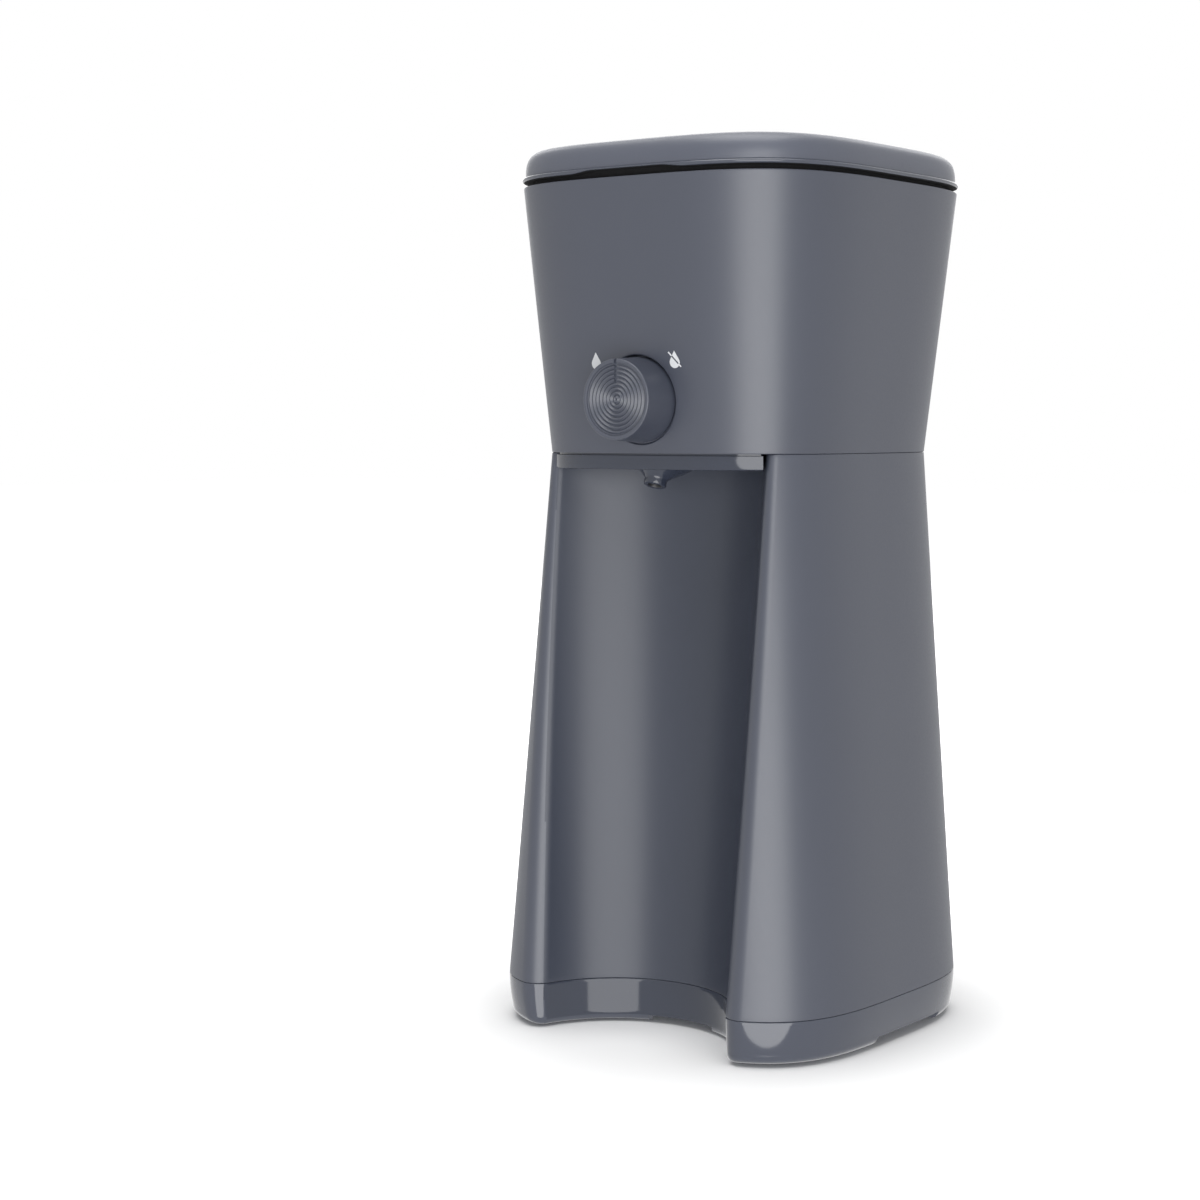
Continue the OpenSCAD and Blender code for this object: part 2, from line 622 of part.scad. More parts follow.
module drip_plate() {
  bay_r = mix(bay_r_foot, bay_r_waist, column_t(fascia_z)) - 0.6;
  front = column_t(waist_z - fascia_h / 2);
  color(dark) difference() {
    union() {
      intersection() {
        translate([0, 0, waist_z]) linear_extrude(plate_t) polygon(head_loop(wall + 0.3, waist_z));
        translate([-80, -100, waist_z - 1]) cube([160, 100 + plate_back, plate_t + 2]);
      }
      intersection() {
        translate([0, 0, fascia_z]) linear_extrude(fascia_h + 0.1) polygon(
          loop(mix(foot_w, waist_w, front) - 2, mix(foot_d, waist_d, front) - 2, waist_back * front));
        translate([0, -bay_front, fascia_z - 1]) cylinder(h = fascia_h + 1, r = bay_r);
      }
      translate([0, valve_y, plate_top - 0.5]) cylinder(h = 4.5, r = 8.5);
      translate([-9, bearing_y, plate_top - 0.5]) cube([18, 3, knob_z - plate_top + 9]);
    }
    translate([0, valve_y, fascia_z + 4]) cylinder(h = plate_top - fascia_z + 0.1, r1 = 3.4, r2 = 7);
    translate([0, valve_y, fascia_z - 1]) cylinder(h = 6, r = 3.4);
    translate([0, 0, knob_z]) {
      bar_y(bearing_y - 1, bearing_y + 4, stem_r + stem_play);
      bar_y(pocket_y - 9, pocket_y + 2.7, pocket_r + 2.3);
    }
    both_sides() {
      for (y = joint_ys) translate([joint_x, y, waist_z - 1]) cylinder(h = plate_t + 2, r = 5.2);
      translate([joint_x, joint_ys[0] - 2.4, waist_z - 1]) cube([14, 4.8, plate_t + 2]);
      translate([plate_x, plate_y, waist_z - 1]) cylinder(h = plate_t + 2, r = 1.7);
    }
  }
}

module plate_screws() {
  color(steel) both_sides() translate([plate_x, plate_y, 0]) screw(waist_z, 8.5);
}

module spout() {
  color(dark) translate([0, valve_y, fascia_z]) difference() {
    union() {
      intersection() {
        rotate([-spout_tilt, 0, 0]) {
          translate([0, 0, -spout_len]) cylinder(h = spout_len + 1, r = spout_r);
          translate([0, 0, -3.4]) cylinder(h = 4.4 + 1, r1 = spout_r + 0.6, r2 = 10.5);
        }
        translate([-20, -20, -20]) cube([40, 40, 20]);
      }
      translate([0, 0, -0.5]) cylinder(h = 4, r = 3.4);
    }
    rotate([-spout_tilt, 0, 0]) translate([0, 0, -spout_len - 1])
      cylinder(h = spout_len + 1.5, r = spout_bore);
    cylinder(h = 4, r1 = spout_bore + 0.2, r2 = 3);
  }
}

module stem_bush() {
  color("#e8e6df") translate([0, 0, knob_z]) difference() {
    bar_y(pocket_y, hub_y, 6);
    bar_y(pocket_y - 1, hub_y + 1, stem_r + stem_play);
  }
}

module micro_switch() {
  color("#2b2c30") difference() {
    translate([-10, switch_y - 3.2, plate_top]) cube([20, 6.4, switch_top - plate_top]);
    translate([0, switch_y, switch_top - 2.4]) cylinder(h = 4, r = 1.6);
    for (x = [-7, 7]) translate([x, 0, plate_top + 3]) bar_y(switch_y - 4, switch_y + 4, 1.2);
  }
}

module switch_button() {
  color("#c23b32") translate([0, switch_y, switch_top - 1.4])
    cylinder(h = button_top - switch_top + 1.4, r = 1.5);
}

module brew_basket() {
  rim = deck_top;
  color(dark) difference() {
    union() {
      translate([0, basket_y, 0]) rotate_extrude()
        polygon([[0, basket_z], [basket_r_low, basket_z], [basket_r_top, rim], [basket_r_top + 3.5, rim],
          [basket_r_top + 3.5, rim + 2], [basket_r_top - 2, rim + 2], [basket_r_low - 2, basket_floor],
          [0, basket_floor]]);
      translate([0, valve_y, basket_z - 4]) cylinder(h = 5, r = 6);
    }
    translate([0, valve_y, basket_z - 5]) cylinder(h = 8, r = 4.4);
  }
}

module valve_cage() {
  color(dark) translate([0, valve_y, 0]) {
    difference() {
      translate([0, 0, cage_z]) cylinder(h = 1.6, r = 6.9);
      translate([0, 0, cage_z - 1]) cylinder(h = 4, r = 1.5);
    }
    for (a = [90, 210, 330]) rotate([0, 0, a]) translate([5.8, 0, basket_floor])
      cylinder(h = cage_z - basket_floor + 0.5, r = 0.8);
  }
}

module valve_plunger() {
  color("#e8e6df") translate([0, valve_y, 0]) {
    translate([0, 0, tip_z]) cylinder(h = 3, r1 = 0.7, r2 = 2.4);
    translate([0, 0, tip_z + 3]) cylinder(h = seal_z + 2.2 - tip_z - 3, r = 2.4);
    translate([0, 0, seal_z + 2]) cylinder(h = 1.5, r = 4.3);
    translate([0, 0, seal_z + 3]) cylinder(h = cage_z + 2.4 - seal_z - 3, r = 1.2);
  }
}

module valve_seal() {
  color("#b5482f") translate([0, valve_y, seal_z]) difference() {
    cylinder(h = 2, r = 4.3 + 0.5);
    translate([0, 0, -1]) cylinder(h = 4, r = 2.4);
  }
}

module valve_spring() {
  low = seal_z + 3.5 + 0.5;
  high = cage_z - 0.5;
  turns = 4.5;
  points = [for (i = [0 : 72]) let (a = 360 * turns * i / 72, f = i / 72)
    [2.9 * cos(a), valve_y + 2.9 * sin(a), mix(low, high, f)]];
  color(steel) loft(across(points, 0.45, 6, [0, 0, 1]));
}

module filter_cone(inset, thick, z0, z1) {
  r = basket_r_low - 2 - inset;
  grow = (basket_r_top - basket_r_low) / (deck_top - basket_z);
  polygon([[r + grow * (z0 - basket_z) - thick, z0], [r + grow * (z0 - basket_z), z0],
    [r + grow * (z1 - basket_z), z1], [r + grow * (z1 - basket_z) - thick, z1]]);
}

module filter_frame() {
  rim = deck_top + 2;
  color(dark) translate([0, basket_y, 0]) {
    rotate_extrude() translate([basket_r_top - 4.6, rim]) square([6.6, 1.6]);
    rotate_extrude() filter_cone(1, 3.4, filter_z, filter_z + 1.6);
    for (a = [0 : 45 : 315]) rotate([0, 0, a - 3]) rotate_extrude(angle = 6)
      filter_cone(1.2, 1.2, filter_z + 1, rim + 0.5);
    both_sides() translate([basket_r_top - 2.6, -7, rim + 1]) cube([1.6, 14, 2.4]);
  }
}

module filter_mesh() {
  rim = deck_top + 2;
  color("#9c8f6a") translate([0, basket_y, 0]) {
    rotate_extrude() filter_cone(2.4, 0.5, filter_z + 1.6, rim);
    rotate_extrude() square_floor(filter_z + 1.6);
  }
}

module square_floor(z) {
  grow = (basket_r_top - basket_r_low) / (deck_top - basket_z);
  translate([0, z]) square([basket_r_low - 4.6 + grow * (z - basket_z), 0.5]);
}

module from_knob() {
  translate([0, pocket_y, knob_z]) rotate([90, 0, 0]) children();
}

module knob() {
  face = knob_out;
  pitch = (knob_r_face - 2) / ridge_count;
  ridges = [for (i = [ridge_count - 1 : -1 : 0])
    each [[pitch * (i + 1), face - 0.7], [pitch * (i + 0.4), face - 0.1]]];
  color(body) from_knob() difference() {
    rotate_extrude() polygon(concat([[0, 0.6], [7, 0.6], [7, 12], [knob_r_face - 2, 12],
      [knob_r_back - 2.2, 0.6], [knob_r_back, 0.6], [knob_r_face, face - 0.8], [knob_r_face - 0.8, face],
      [knob_r_face - 1.6, face]],
      ridges, [[0, face - 0.7]]));
    translate([0, 0, -1]) cylinder(h = 13, r = stem_r);
    translate([-0.7, knob_r_face * 0.45, face - 1.3]) cube([1.4, knob_r_face, 2]);
  }
}

module knob_stem() {
  color("#c8c9cb") translate([0, 0, knob_z]) difference() {
    bar_y(pocket_y - 12, switch_y + 3, stem_r);
    difference() {
      bar_y(hub_y + 0.2, hub_y + 1.2, stem_r + 1);
      bar_y(hub_y, hub_y + 2, stem_r - 0.7);
    }
  }
}

module stem_clip() {
  color(steel) translate([0, 0, knob_z]) difference() {
    bar_y(hub_y + 0.25, hub_y + 1.15, stem_r + 2.4);
    bar_y(hub_y, hub_y + 2, stem_r - 0.7);
    translate([-1.6, hub_y, -10]) cube([3.2, 2, 10]);
  }
}

// A spiral lobe that pushes at an angle, growing by a pitch for one radian of turn
function lobe(r, pitch, towards, reach) =
  [for (a = [-180 : 6 : 174])
    let (s = abs(a) <= reach ? -a : abs(a) < 180 ? sign(-a) * reach * (180 - abs(a)) / (180 - reach) : 0)
    (r + pitch * s * PI / 180) * [cos(a + towards), sin(a + towards)]];

module valve_cam() {
  color("#e8e6df") translate([0, valve_y + 2, knob_z]) rotate([90, 0, 0]) difference() {
    linear_extrude(4) polygon(lobe(cam_r, valve_pitch, 90, 66));
    translate([0, 0, -1]) cylinder(h = 6, r = stem_r);
  }
}

module switch_cam() {
  color("#e8e6df") translate([0, switch_y + 2, knob_z]) rotate([90, 0, 0]) difference() {
    linear_extrude(4) polygon(lobe(switch_r, switch_pitch, -90, 66));
    translate([0, 0, -1]) cylinder(h = 6, r = stem_r);
  }
}

module hinge_pins() {
  color(steel) both_sides() translate([0, hinge_y, hinge_z]) bar_x(ear_x[0], far_ear_x[1], pin_r);
}

module lid_shell() {
  roof = lid_z + lid_h;
  top = lid_h - rim_h;
  outer = [[1.1, rim_h + 0.2], [1.3, rim_h + 0.35 * top], [2, rim_h + 0.62 * top], [3.4, rim_h + 0.8 * top],
    [6, rim_h + 0.92 * top], [14, rim_h + 0.96 * top], [34, lid_h]];
  inner = [[34, lid_h - lid_wall], [14, rim_h + 0.96 * top - lid_wall], [7, rim_h + 0.88 * top - lid_wall],
    [4.2, rim_h + 0.6 * top - lid_wall], [3.6, 0]];
  profile = concat([[0, 0], [0, rim_h]], outer);
  color(body) difference() {
    union() {
      difference() {
        loft([for (p = concat(inner, profile)) lid_ring(p[0], lid_z + p[1])]);
        both_sides() translate([ear_x[0] - 0.5, hinge_y - 6, lid_z - 1])
          cube([far_ear_x[1] - ear_x[0] + 1, 20, hinge_z + hinge_r + 0.7 - lid_z + 1]);
        translate([-notch_w / 2, -lid_d, lid_z - 1]) cube([notch_w, lid_d - 40, 2]);
      }
      both_sides() translate([knuckle_x[0], hinge_y, hinge_z]) {
        rotate([0, 90, 0]) cylinder(h = knuckle_x[1] - knuckle_x[0], r = hinge_r);
        translate([0, -5.6, 0]) cube([knuckle_x[1] - knuckle_x[0], 5.6, roof - hinge_z - lid_wall + 0.6]);
      }
      both_sides() translate(concat(outline_p(top_w - wall, top_d - wall, top_back, -60), [lid_z - 0.5]))
        cylinder(h = 1.5, r = 0.9);
    }
    translate([0, hinge_y, hinge_z]) bar_x(-40, 40, pin_r + pin_play);
  }
}

module channel(w, z, h) {
  run = [riser_x, riser_y - basket_y];
  translate([0, basket_y, z]) rotate([0, 0, atan2(run.y, run.x)]) translate([20, -w / 2, 0])
    cube([norm(run) - 20 + w / 2, w, h]);
}

module lid_liner() {
  color("#4b4d54") difference() {
    union() {
      intersection() {
        translate([0, 0, liner_z]) linear_extrude(1.6) polygon(loop(lid_w - 8.1, lid_d - 8.1, top_back));
        translate([-80, -100, liner_z - 1]) cube([160, 100 + hinge_y - 7, 4]);
      }
      translate([0, basket_y, shower_z]) cylinder(h = liner_z - shower_z + 0.5, r = 28);
      channel(13, shower_z + 0.1, liner_z - shower_z);
    }
    translate([0, basket_y, shower_z - 1]) cylinder(h = liner_z - shower_z + 1, r = 26);
    channel(10, shower_z + 1.4, liner_z - shower_z - 1.4);
    translate([riser_x, riser_y, shower_z - 1]) cylinder(h = 3, r = 4.4);
  }
}

module shower_plate() {
  color("#4b4d54") translate([0, basket_y, shower_z]) difference() {
    cylinder(h = 1.2, r = 26);
    for (r = [8, 17], a = [0 : 360 / (r * 0.75) : 359])
      rotate([0, 0, a]) translate([r, 0, -1]) cylinder(h = 4, r = 1.2);
    translate([0, 0, -1]) cylinder(h = 4, r = 1.2);
  }
}

// Every piece moves forward, so the knob's face and the lid's back edge lie equally far from the origin
module place() {
  translate([0, -middle_y, 0]) children();
}

place() foot_housing();
place() rubber_feet();
place() foot_screws();
place() column_shell();
place() cord_gland();
place() gland_nut();
place() terminal_block();
place() heater();
place() heater_terminals();
place() heater_clamp();
place() clamp_screws();
place() thermostat();
place() thermal_fuses();
place() wiring();
place() check_valve();
place() check_ball();
place() inlet_hose();
place() riser_hose();
place() hose_clips();
place() riser_spout();
place() reservoir();
place() deck();
place() head_shell();
place() head_screws();
place() drip_plate();
place() plate_screws();
place() spout();
place() stem_bush();
place() micro_switch();
place() switch_button();
place() brew_basket();
place() valve_cage();
place() valve_plunger();
place() valve_seal();
place() valve_spring();
place() filter_frame();
place() filter_mesh();
place() knob();
place() knob_stem();
place() stem_clip();
place() valve_cam();
place() switch_cam();
place() hinge_pins();
place() lid_shell();
place() lid_liner();
place() shower_plate();
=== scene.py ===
# %% [markdown]
# # An iced coffee maker in slate-grey plastic
# The real machine is a stack of injection-moulded shells: a glossy foot, a satin column with a round bay, a
# satin head with the knob, and a lid hinged at the back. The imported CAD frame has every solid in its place
# already, so this lesson keeps the hidden pieces, gives them finishes, and rebuilds the shells that show with
# finer curves, rounded edges and seams. Everything is worked out in millimetres and turned to metres once,
# where a mesh is made.

# %% Load the frame
import json
import math

import bmesh
import bpy
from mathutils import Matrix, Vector


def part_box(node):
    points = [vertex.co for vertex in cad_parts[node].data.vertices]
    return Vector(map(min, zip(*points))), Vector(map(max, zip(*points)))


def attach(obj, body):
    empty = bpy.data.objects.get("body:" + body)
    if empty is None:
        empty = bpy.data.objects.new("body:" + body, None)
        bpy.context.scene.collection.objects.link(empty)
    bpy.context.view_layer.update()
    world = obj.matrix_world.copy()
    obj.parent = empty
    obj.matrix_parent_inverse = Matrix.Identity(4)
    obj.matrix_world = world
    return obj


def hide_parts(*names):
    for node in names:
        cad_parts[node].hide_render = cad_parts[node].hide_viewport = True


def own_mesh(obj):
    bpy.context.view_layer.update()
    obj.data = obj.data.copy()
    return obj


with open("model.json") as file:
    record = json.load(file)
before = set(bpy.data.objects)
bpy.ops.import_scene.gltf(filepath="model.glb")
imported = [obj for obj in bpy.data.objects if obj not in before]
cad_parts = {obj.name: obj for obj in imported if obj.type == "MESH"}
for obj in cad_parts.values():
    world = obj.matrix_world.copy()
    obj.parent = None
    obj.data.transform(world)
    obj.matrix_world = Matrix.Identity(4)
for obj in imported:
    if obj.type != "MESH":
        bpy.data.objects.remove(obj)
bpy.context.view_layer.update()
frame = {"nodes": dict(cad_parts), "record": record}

# %% [markdown]
# ## The camera
# The view was worked out from the outlines, seams and knob in the picture: the camera stands 0.86 m away,
# 34 degrees round to the right of the front, level with the knob, and looks slightly down and to the left.
# It is made first, so that every later step can be judged from it.

# %% Camera
MM = 0.001
CAMERA_AT = (478.0, -715.9, 216.7)
CAMERA_LOOK = (-0.60124, 0.79552, -0.07523)
IMAGE_SIZE = 1200
FOCAL_PIXELS = 2352.7
SENSOR = 36.0

camera_data = bpy.data.cameras.new("camera")
camera_data.sensor_width = SENSOR
camera_data.lens = FOCAL_PIXELS / IMAGE_SIZE * SENSOR
camera = bpy.data.objects.new("camera", camera_data)
camera.location = Vector(CAMERA_AT) * MM
camera.rotation_euler = Vector(CAMERA_LOOK).to_track_quat("-Z", "Y").to_euler()
bpy.context.scene.collection.objects.link(camera)
bpy.context.scene.camera = camera
print("lens, mm:", round(camera_data.lens, 2))

# %% [markdown]
# ## One small function for nodes
# A finish in Blender is a graph of nodes. One helper adds a node, sets what is given by name, and links the
# sockets that other nodes feed, so that each finish below reads as a list of what it is made of. Colours are
# written as sRGB hex values and turned to linear light once.


# %% Colour and node helpers
def linear(code):
    parts = [int(code[i:i + 2], 16) / 255 for i in (1, 3, 5)]
    return [p / 12.92 if p <= 0.04045 else ((p + 0.055) / 1.055) ** 2.4 for p in parts] + [1.0]


def shaded(colour, share):
    """A linear colour made darker or lighter, with its alpha kept."""
    return [c * share for c in colour[:3]] + [1.0]


def add(tree, kind, inputs=None, **settings):
    node = tree.nodes.new(kind)
    for name, value in settings.items():
        setattr(node, name, value)
    for socket, value in (inputs or {}).items():
        if isinstance(value, bpy.types.NodeSocket):
            tree.links.new(value, node.inputs[socket])
        else:
            node.inputs[socket].default_value = value
    return node


def new_finish(name):
    """A bare material, its tree of nodes, and the place on the piece that its textures follow."""
    material = bpy.data.materials.new(name)
    material.use_nodes = True
    tree = material.node_tree
    tree.nodes.clear()
    return material, tree, add(tree, "ShaderNodeTexCoord").outputs["Object"]


print("mid grey in linear light:", round(linear("#808080")[0], 3))

# %% Parts of a finish
# Most values of a noise texture lie between these two
NOISE_LOW, NOISE_HIGH = 0.3, 0.7


def per_mm(size):
    """The texture scale at which one feature is this many millimetres across."""
    return 1000.0 / size


def noise(tree, place, size, detail):
    return add(tree, "ShaderNodeTexNoise", {
        "Vector": place, "Scale": per_mm(size), "Detail": detail}).outputs["Fac"]


def blend(tree, share, low, high):
    return add(tree, "ShaderNodeMix", {0: share, 6: low, 7: high}, data_type="RGBA").outputs[2]


def spread(tree, value, middle, share):
    """Turns a noise into values round a middle, up to a share to each side."""
    return add(tree, "ShaderNodeMapRange", {
        "Value": value, "From Min": NOISE_LOW, "From Max": NOISE_HIGH,
        "To Min": middle * (1 - share), "To Max": middle * (1 + share)}).outputs["Result"]


def raised(tree, height, depth):
    """Bumps of a depth in millimetres."""
    return add(tree, "ShaderNodeBump", {
        "Height": height, "Strength": 1.0, "Distance": depth * MM}).outputs["Normal"]


def reckon(tree, operation, a, b):
    return add(tree, "ShaderNodeMath", {0: a, 1: b}, operation=operation).outputs[0]


def surface(tree, inputs):
    shader = add(tree, "ShaderNodeBsdfPrincipled", inputs)
    add(tree, "ShaderNodeOutputMaterial", {"Surface": shader.outputs["BSDF"]})


# %% [markdown]
# ## Moulded plastic
# Every plastic piece came out of a steel mould. Its colour is in the pellets, so it is even, with only a
# faint drift from the flow. Its gloss is the mould's: a spark-eroded cavity gives a fine grain that blurs
# reflections, and a polished cavity gives a clear one. So all plastics share one recipe, a drift in colour
# and a grain that raises and roughens, and differ in colour, roughness and grain.

# %% Plastic recipe
FLOW_MM, SHEEN_SPREAD = 45.0, 0.07


def plastic(name, colour, rough, grain_mm, grain_depth, drift=0.06, ior=1.53, coat=0.0):
    material, tree, place = new_finish(name)
    flow = noise(tree, place, FLOW_MM, detail=2.0)
    grain = noise(tree, place, grain_mm, detail=3.0)
    base = linear(colour)
    surface(tree, {
        "Base Color": blend(tree, flow, shaded(base, 1 - drift), shaded(base, 1 + drift)),
        "Roughness": spread(tree, grain, rough, SHEEN_SPREAD), "Normal": raised(tree, grain, grain_depth),
        "IOR": ior, "Coat Weight": coat})
    return material


# %% Plastics
# ABS with a spark-eroded grain: satin, so the strip of light on each corner is broad and soft. Plain ABS has
# an IOR of 1.53, and the brightness of that strip asks for a little more
satin_slate = plastic("abs_slate_satin", "#3C404C", 0.42, 0.7, 0.008, ior=1.66)
# The same ABS painted a shade lighter for the lid, as painted light from above, so the lid stands out from
# the head
satin_lid_painted_light = plastic("abs_slate_satin_lid_painted_light", "#494D59", 0.42, 0.7, 0.008, ior=1.66)
# The same ABS from a polished mould: the light shows in it with clear edges
gloss_slate = plastic("abs_slate_polished", "#444854", 0.09, 6.0, 0.003)
# Both again for the bay's round wall, with weaker reflections and the glossy one darker, as painted shade, so
# the bay looks deep
satin_bay_painted_shade = plastic("abs_slate_satin_bay_painted_shade", "#3C404B", 0.35, 0.7, 0.008, ior=1.44)
gloss_bay_painted_shade = plastic("abs_slate_polished_bay_painted_shade", "#3C404B", 0.09, 6.0, 0.003, ior=1.40)
# A darker ABS, polished for the drip plate and its spout
gloss_dark = plastic("abs_dark_polished", "#2F3441", 0.10, 6.0, 0.003)
# The darker ABS from a spark-eroded mould, for the brewing pieces under the lid
dark_abs = plastic("abs_dark_satin", "#303237", 0.42, 0.7, 0.012)
# Black ABS painted under the lid's rim and on its lip as the gap's shade: dull, so the gap there reads as a
# dark line
black_painted_gap_shade = plastic("abs_black_painted_gap_shade", "#121214", 0.85, 0.8, 0.020, ior=1.38)
# Unfilled acetal for the stem, cams and valves: milky white with a waxy gloss
white_acetal = plastic("acetal_natural", "#DEDBD0", 0.36, 0.9, 0.004, drift=0.02, ior=1.48)
# Red acetal for the switch button: an even signal red
red_acetal = plastic("acetal_red", "#96201A", 0.25, 1.2, 0.003, ior=1.48)
# Glass-filled nylon for the gland and the electrical pieces: black, with fibres that dull its gloss
black_nylon = plastic("nylon_black", "#1B1B1E", 0.50, 0.5, 0.014, drift=0.12)
# Polypropylene for the reservoir: cloudy grey with a soft shine
cloudy_pp = plastic("polypropylene_cloudy", "#A2A7AF", 0.38, 3.0, 0.010, drift=0.04, ior=1.49)
print("plastics:", [m.name for m in bpy.data.materials if m.name.startswith(("abs", "ace", "nyl", "pol"))])

# %% [markdown]
# ## Rubber, metal, ceramic and cloth
# The hidden pieces are made of other things. Rubber is moulded like plastic but hardly shines, so it takes
# the same recipe. Zinc plate and cast aluminium are metals, so their colour is in the reflection: patches of
# roughness make the plate look dipped, and a coarse grain makes the casting look sandy. A glaze is a clear
# coat. The filter cloth and the wires' sleeves are woven, and crossing sets of waves raise their threads.

# %% Rubber, metal and glaze
DULL_SHARE, BLUR_SPREAD = 0.82, 0.25


def metal(name, colour, rough, patch_mm, depth):
    material, tree, place = new_finish(name)
    patch = noise(tree, place, patch_mm, detail=4.0)
    base = linear(colour)
    surface(tree, {
        "Base Color": blend(tree, patch, shaded(base, DULL_SHARE), base), "Metallic": 1.0,
        "Roughness": spread(tree, patch, rough, BLUR_SPREAD), "Normal": raised(tree, patch, depth)})
    return material


# Zinc-plated steel for screws, clips, pins and the spring: bluish and bright, in soft patches
zinc_plate = metal("steel_zinc_plated", "#B7BBC1", 0.30, 4.0, 0.004)
# Sand-cast aluminium for the heater: pale grey and grainy
cast_metal = metal("aluminium_cast", "#A6A8AB", 0.55, 0.8, 0.060)
# Natural rubber for the feet: almost black and dull
foot_rubber = plastic("rubber_black", "#1E1E20", 0.75, 0.8, 0.030, ior=1.52)
# Silicone for the valve's seal: brick red and soft
red_silicone = plastic("silicone_red", "#8C3B28", 0.55, 1.0, 0.010, ior=1.41)
# Silicone for the hoses: a milky cream
cream_silicone = plastic("silicone_cream", "#DAD7CB", 0.45, 1.0, 0.010, drift=0.03, ior=1.41)
# Glazed steatite for the heater's terminals and fuses: white under a clear coat
glazed_steatite = plastic("steatite_glazed", "#E4E1D8", 0.30, 1.5, 0.006, drift=0.03, coat=0.6)
print("metals and rubbers:", zinc_plate.name, cast_metal.name, foot_rubber.name, red_silicone.name)


# %% Woven finishes
def woven(name, thread, shade, spacing_mm, rough, depth, turn):
    """Threads at a spacing, crossing at right angles, turned out of the axes."""
    material, tree, place = new_finish(name)
    turned = add(tree, "ShaderNodeMapping", {"Vector": place, "Rotation": turn}).outputs["Vector"]
    # One thread is one wave, and a wave texture of scale 1 has a wave every pi / 10 of a unit
    scale = per_mm(spacing_mm) * math.pi / 10
    warp, weft, rise = (add(tree, "ShaderNodeTexWave", {"Vector": turned, "Scale": scale},
                            bands_direction=axis).outputs["Fac"] for axis in "XYZ")
    over = reckon(tree, "MAXIMUM", reckon(tree, "MAXIMUM", warp, weft), rise)
    surface(tree, {
        "Base Color": blend(tree, over, linear(shade), linear(thread)), "Roughness": rough,
        "Normal": raised(tree, over, depth), "IOR": 1.53})
    return material


# Nylon filter cloth: real threads lie 0.25 mm apart, too fine to show, so they are drawn 0.9 mm apart
filter_cloth = woven("nylon_woven", "#9C8E68", "#6E6347", 0.9, 0.45, 0.10, (0.0, 0.0, 0.6))
# Braided glass sleeve: real strands are 0.3 mm wide and are drawn 0.8 mm wide, so that the braid shows
glass_sleeve = woven("glass_braid", "#D6D5CF", "#8D8C86", 0.8, 0.60, 0.10, (0.6, 0.6, 0.8))
print("woven:", filter_cloth.name, glass_sleeve.name)

# %% [markdown]
# ## Finishes for the CAD pieces
# The frame's record says which material each piece is made of. A table from those names to the finishes
# above gives every CAD piece its look in one loop, also the ones that are hidden in the body, because an
# opened lid or a cut-away view shows them. The few that show get a fine bevel, as every moulded edge has.

# %% Dress the CAD pieces
FINISH_OF_SLOT = {
    "slate_plastic": satin_slate, "dark_plastic": dark_abs, "natural_plastic": white_acetal,
    "black_plastic": black_nylon, "red_plastic": red_acetal, "tank_plastic": cloudy_pp,
    "foot_rubber": foot_rubber, "seal_rubber": red_silicone, "hose_rubber": cream_silicone,
    "zinc_steel": zinc_plate, "cast_aluminium": cast_metal, "mesh_nylon": filter_cloth,
    "wire_sleeve": glass_sleeve, "ceramic_white": glazed_steatite,
}
BEVEL_OF_NODE = {"deck": 0.25, "brew_basket": 0.3, "filter_frame": 0.2, "lid_liner": 0.2, "riser_spout": 0.2,
                 "rubber_feet": 0.6, "cord_gland": 0.3, "reservoir": 0.25}


def bevel_edges(piece, width, angle):
    """Rounds the edges that turn by more than an angle in degrees."""
    bevel = piece.modifiers.new("moulded_edge", "BEVEL")
    bevel.width, bevel.segments = width * MM, 2
    bevel.limit_method, bevel.angle_limit = "ANGLE", math.radians(angle)


for part in frame["record"]["subparts"]:
    node = frame["nodes"][part["node"]]
    node.data.materials.clear()
    node.data.materials.append(FINISH_OF_SLOT[part["material_slot"]])
    if part["node"] in BEVEL_OF_NODE:
        bevel_edges(node, BEVEL_OF_NODE[part["node"]], angle=40)

# %% [markdown]
# ## The plan outline
# Seen from above, every level of the body is the same kind of shape: a rounded square between an ellipse and
# a rectangle, called a superellipse. Its width and depth change with height, from a broad foot to a slim
# waist and a broader top. A function gives a point of that outline at an angle, and a shell is a stack of
# rings of such points.

# %% Sizes and outlines
# Pieces are drawn about the foot's middle and moved by this much to the frame's origin, which lies midway
# between the knob's face and the lid's back edge
SHIFT_Y = -2.05
SQUARENESS = 3.6
# Width, depth, and how far the outline's middle lies back
FOOT_PLAN, WAIST_PLAN, TOP_PLAN = (143.0, 140.0, 0.0), (115.0, 121.0, 3.0), (131.0, 144.0, 4.5)
SEAM_Z, WAIST_Z, TOP_Z = 16.0, 206.0, 300.5
WALL = 2.5
RING = 320
PHIS = [-math.pi / 2 + 2 * math.pi * i / RING for i in range(RING)]


def mix(a, b, t):
    return a + (b - a) * t


def plan_at(low, high, t, inset=0.0):
    width, depth, back = (mix(a, b, t) for a, b in zip(low, high))
    return width - 2 * inset, depth - 2 * inset, back


def head_plan(z, inset=0.0):
    return plan_at(WAIST_PLAN, TOP_PLAN, (z - WAIST_Z) / (TOP_Z - WAIST_Z), inset)


def column_share(z):
    return (z - SEAM_Z) / (WAIST_Z - SEAM_Z)


def column_plan(z, inset=0.0):
    return plan_at(FOOT_PLAN, WAIST_PLAN, column_share(z), inset)


def outline(plan, phi):
    width, depth, back = plan
    c, s = math.cos(phi), math.sin(phi)
    r = ((abs(c) * 2 / width) ** SQUARENESS + (abs(s) * 2 / depth) ** SQUARENESS) ** (-1 / SQUARENESS)
    return r * c, back + r * s


def outline_normal(plan, phi):
    width, depth, _ = plan
    x, y = outline((width, depth, 0.0), phi)
    gx = math.copysign((abs(x) * 2 / width) ** (SQUARENESS - 1) / width, x)
    gy = math.copysign((abs(y) * 2 / depth) ** (SQUARENESS - 1) / depth, y)
    length = math.hypot(gx, gy)
    return gx / length, gy / length


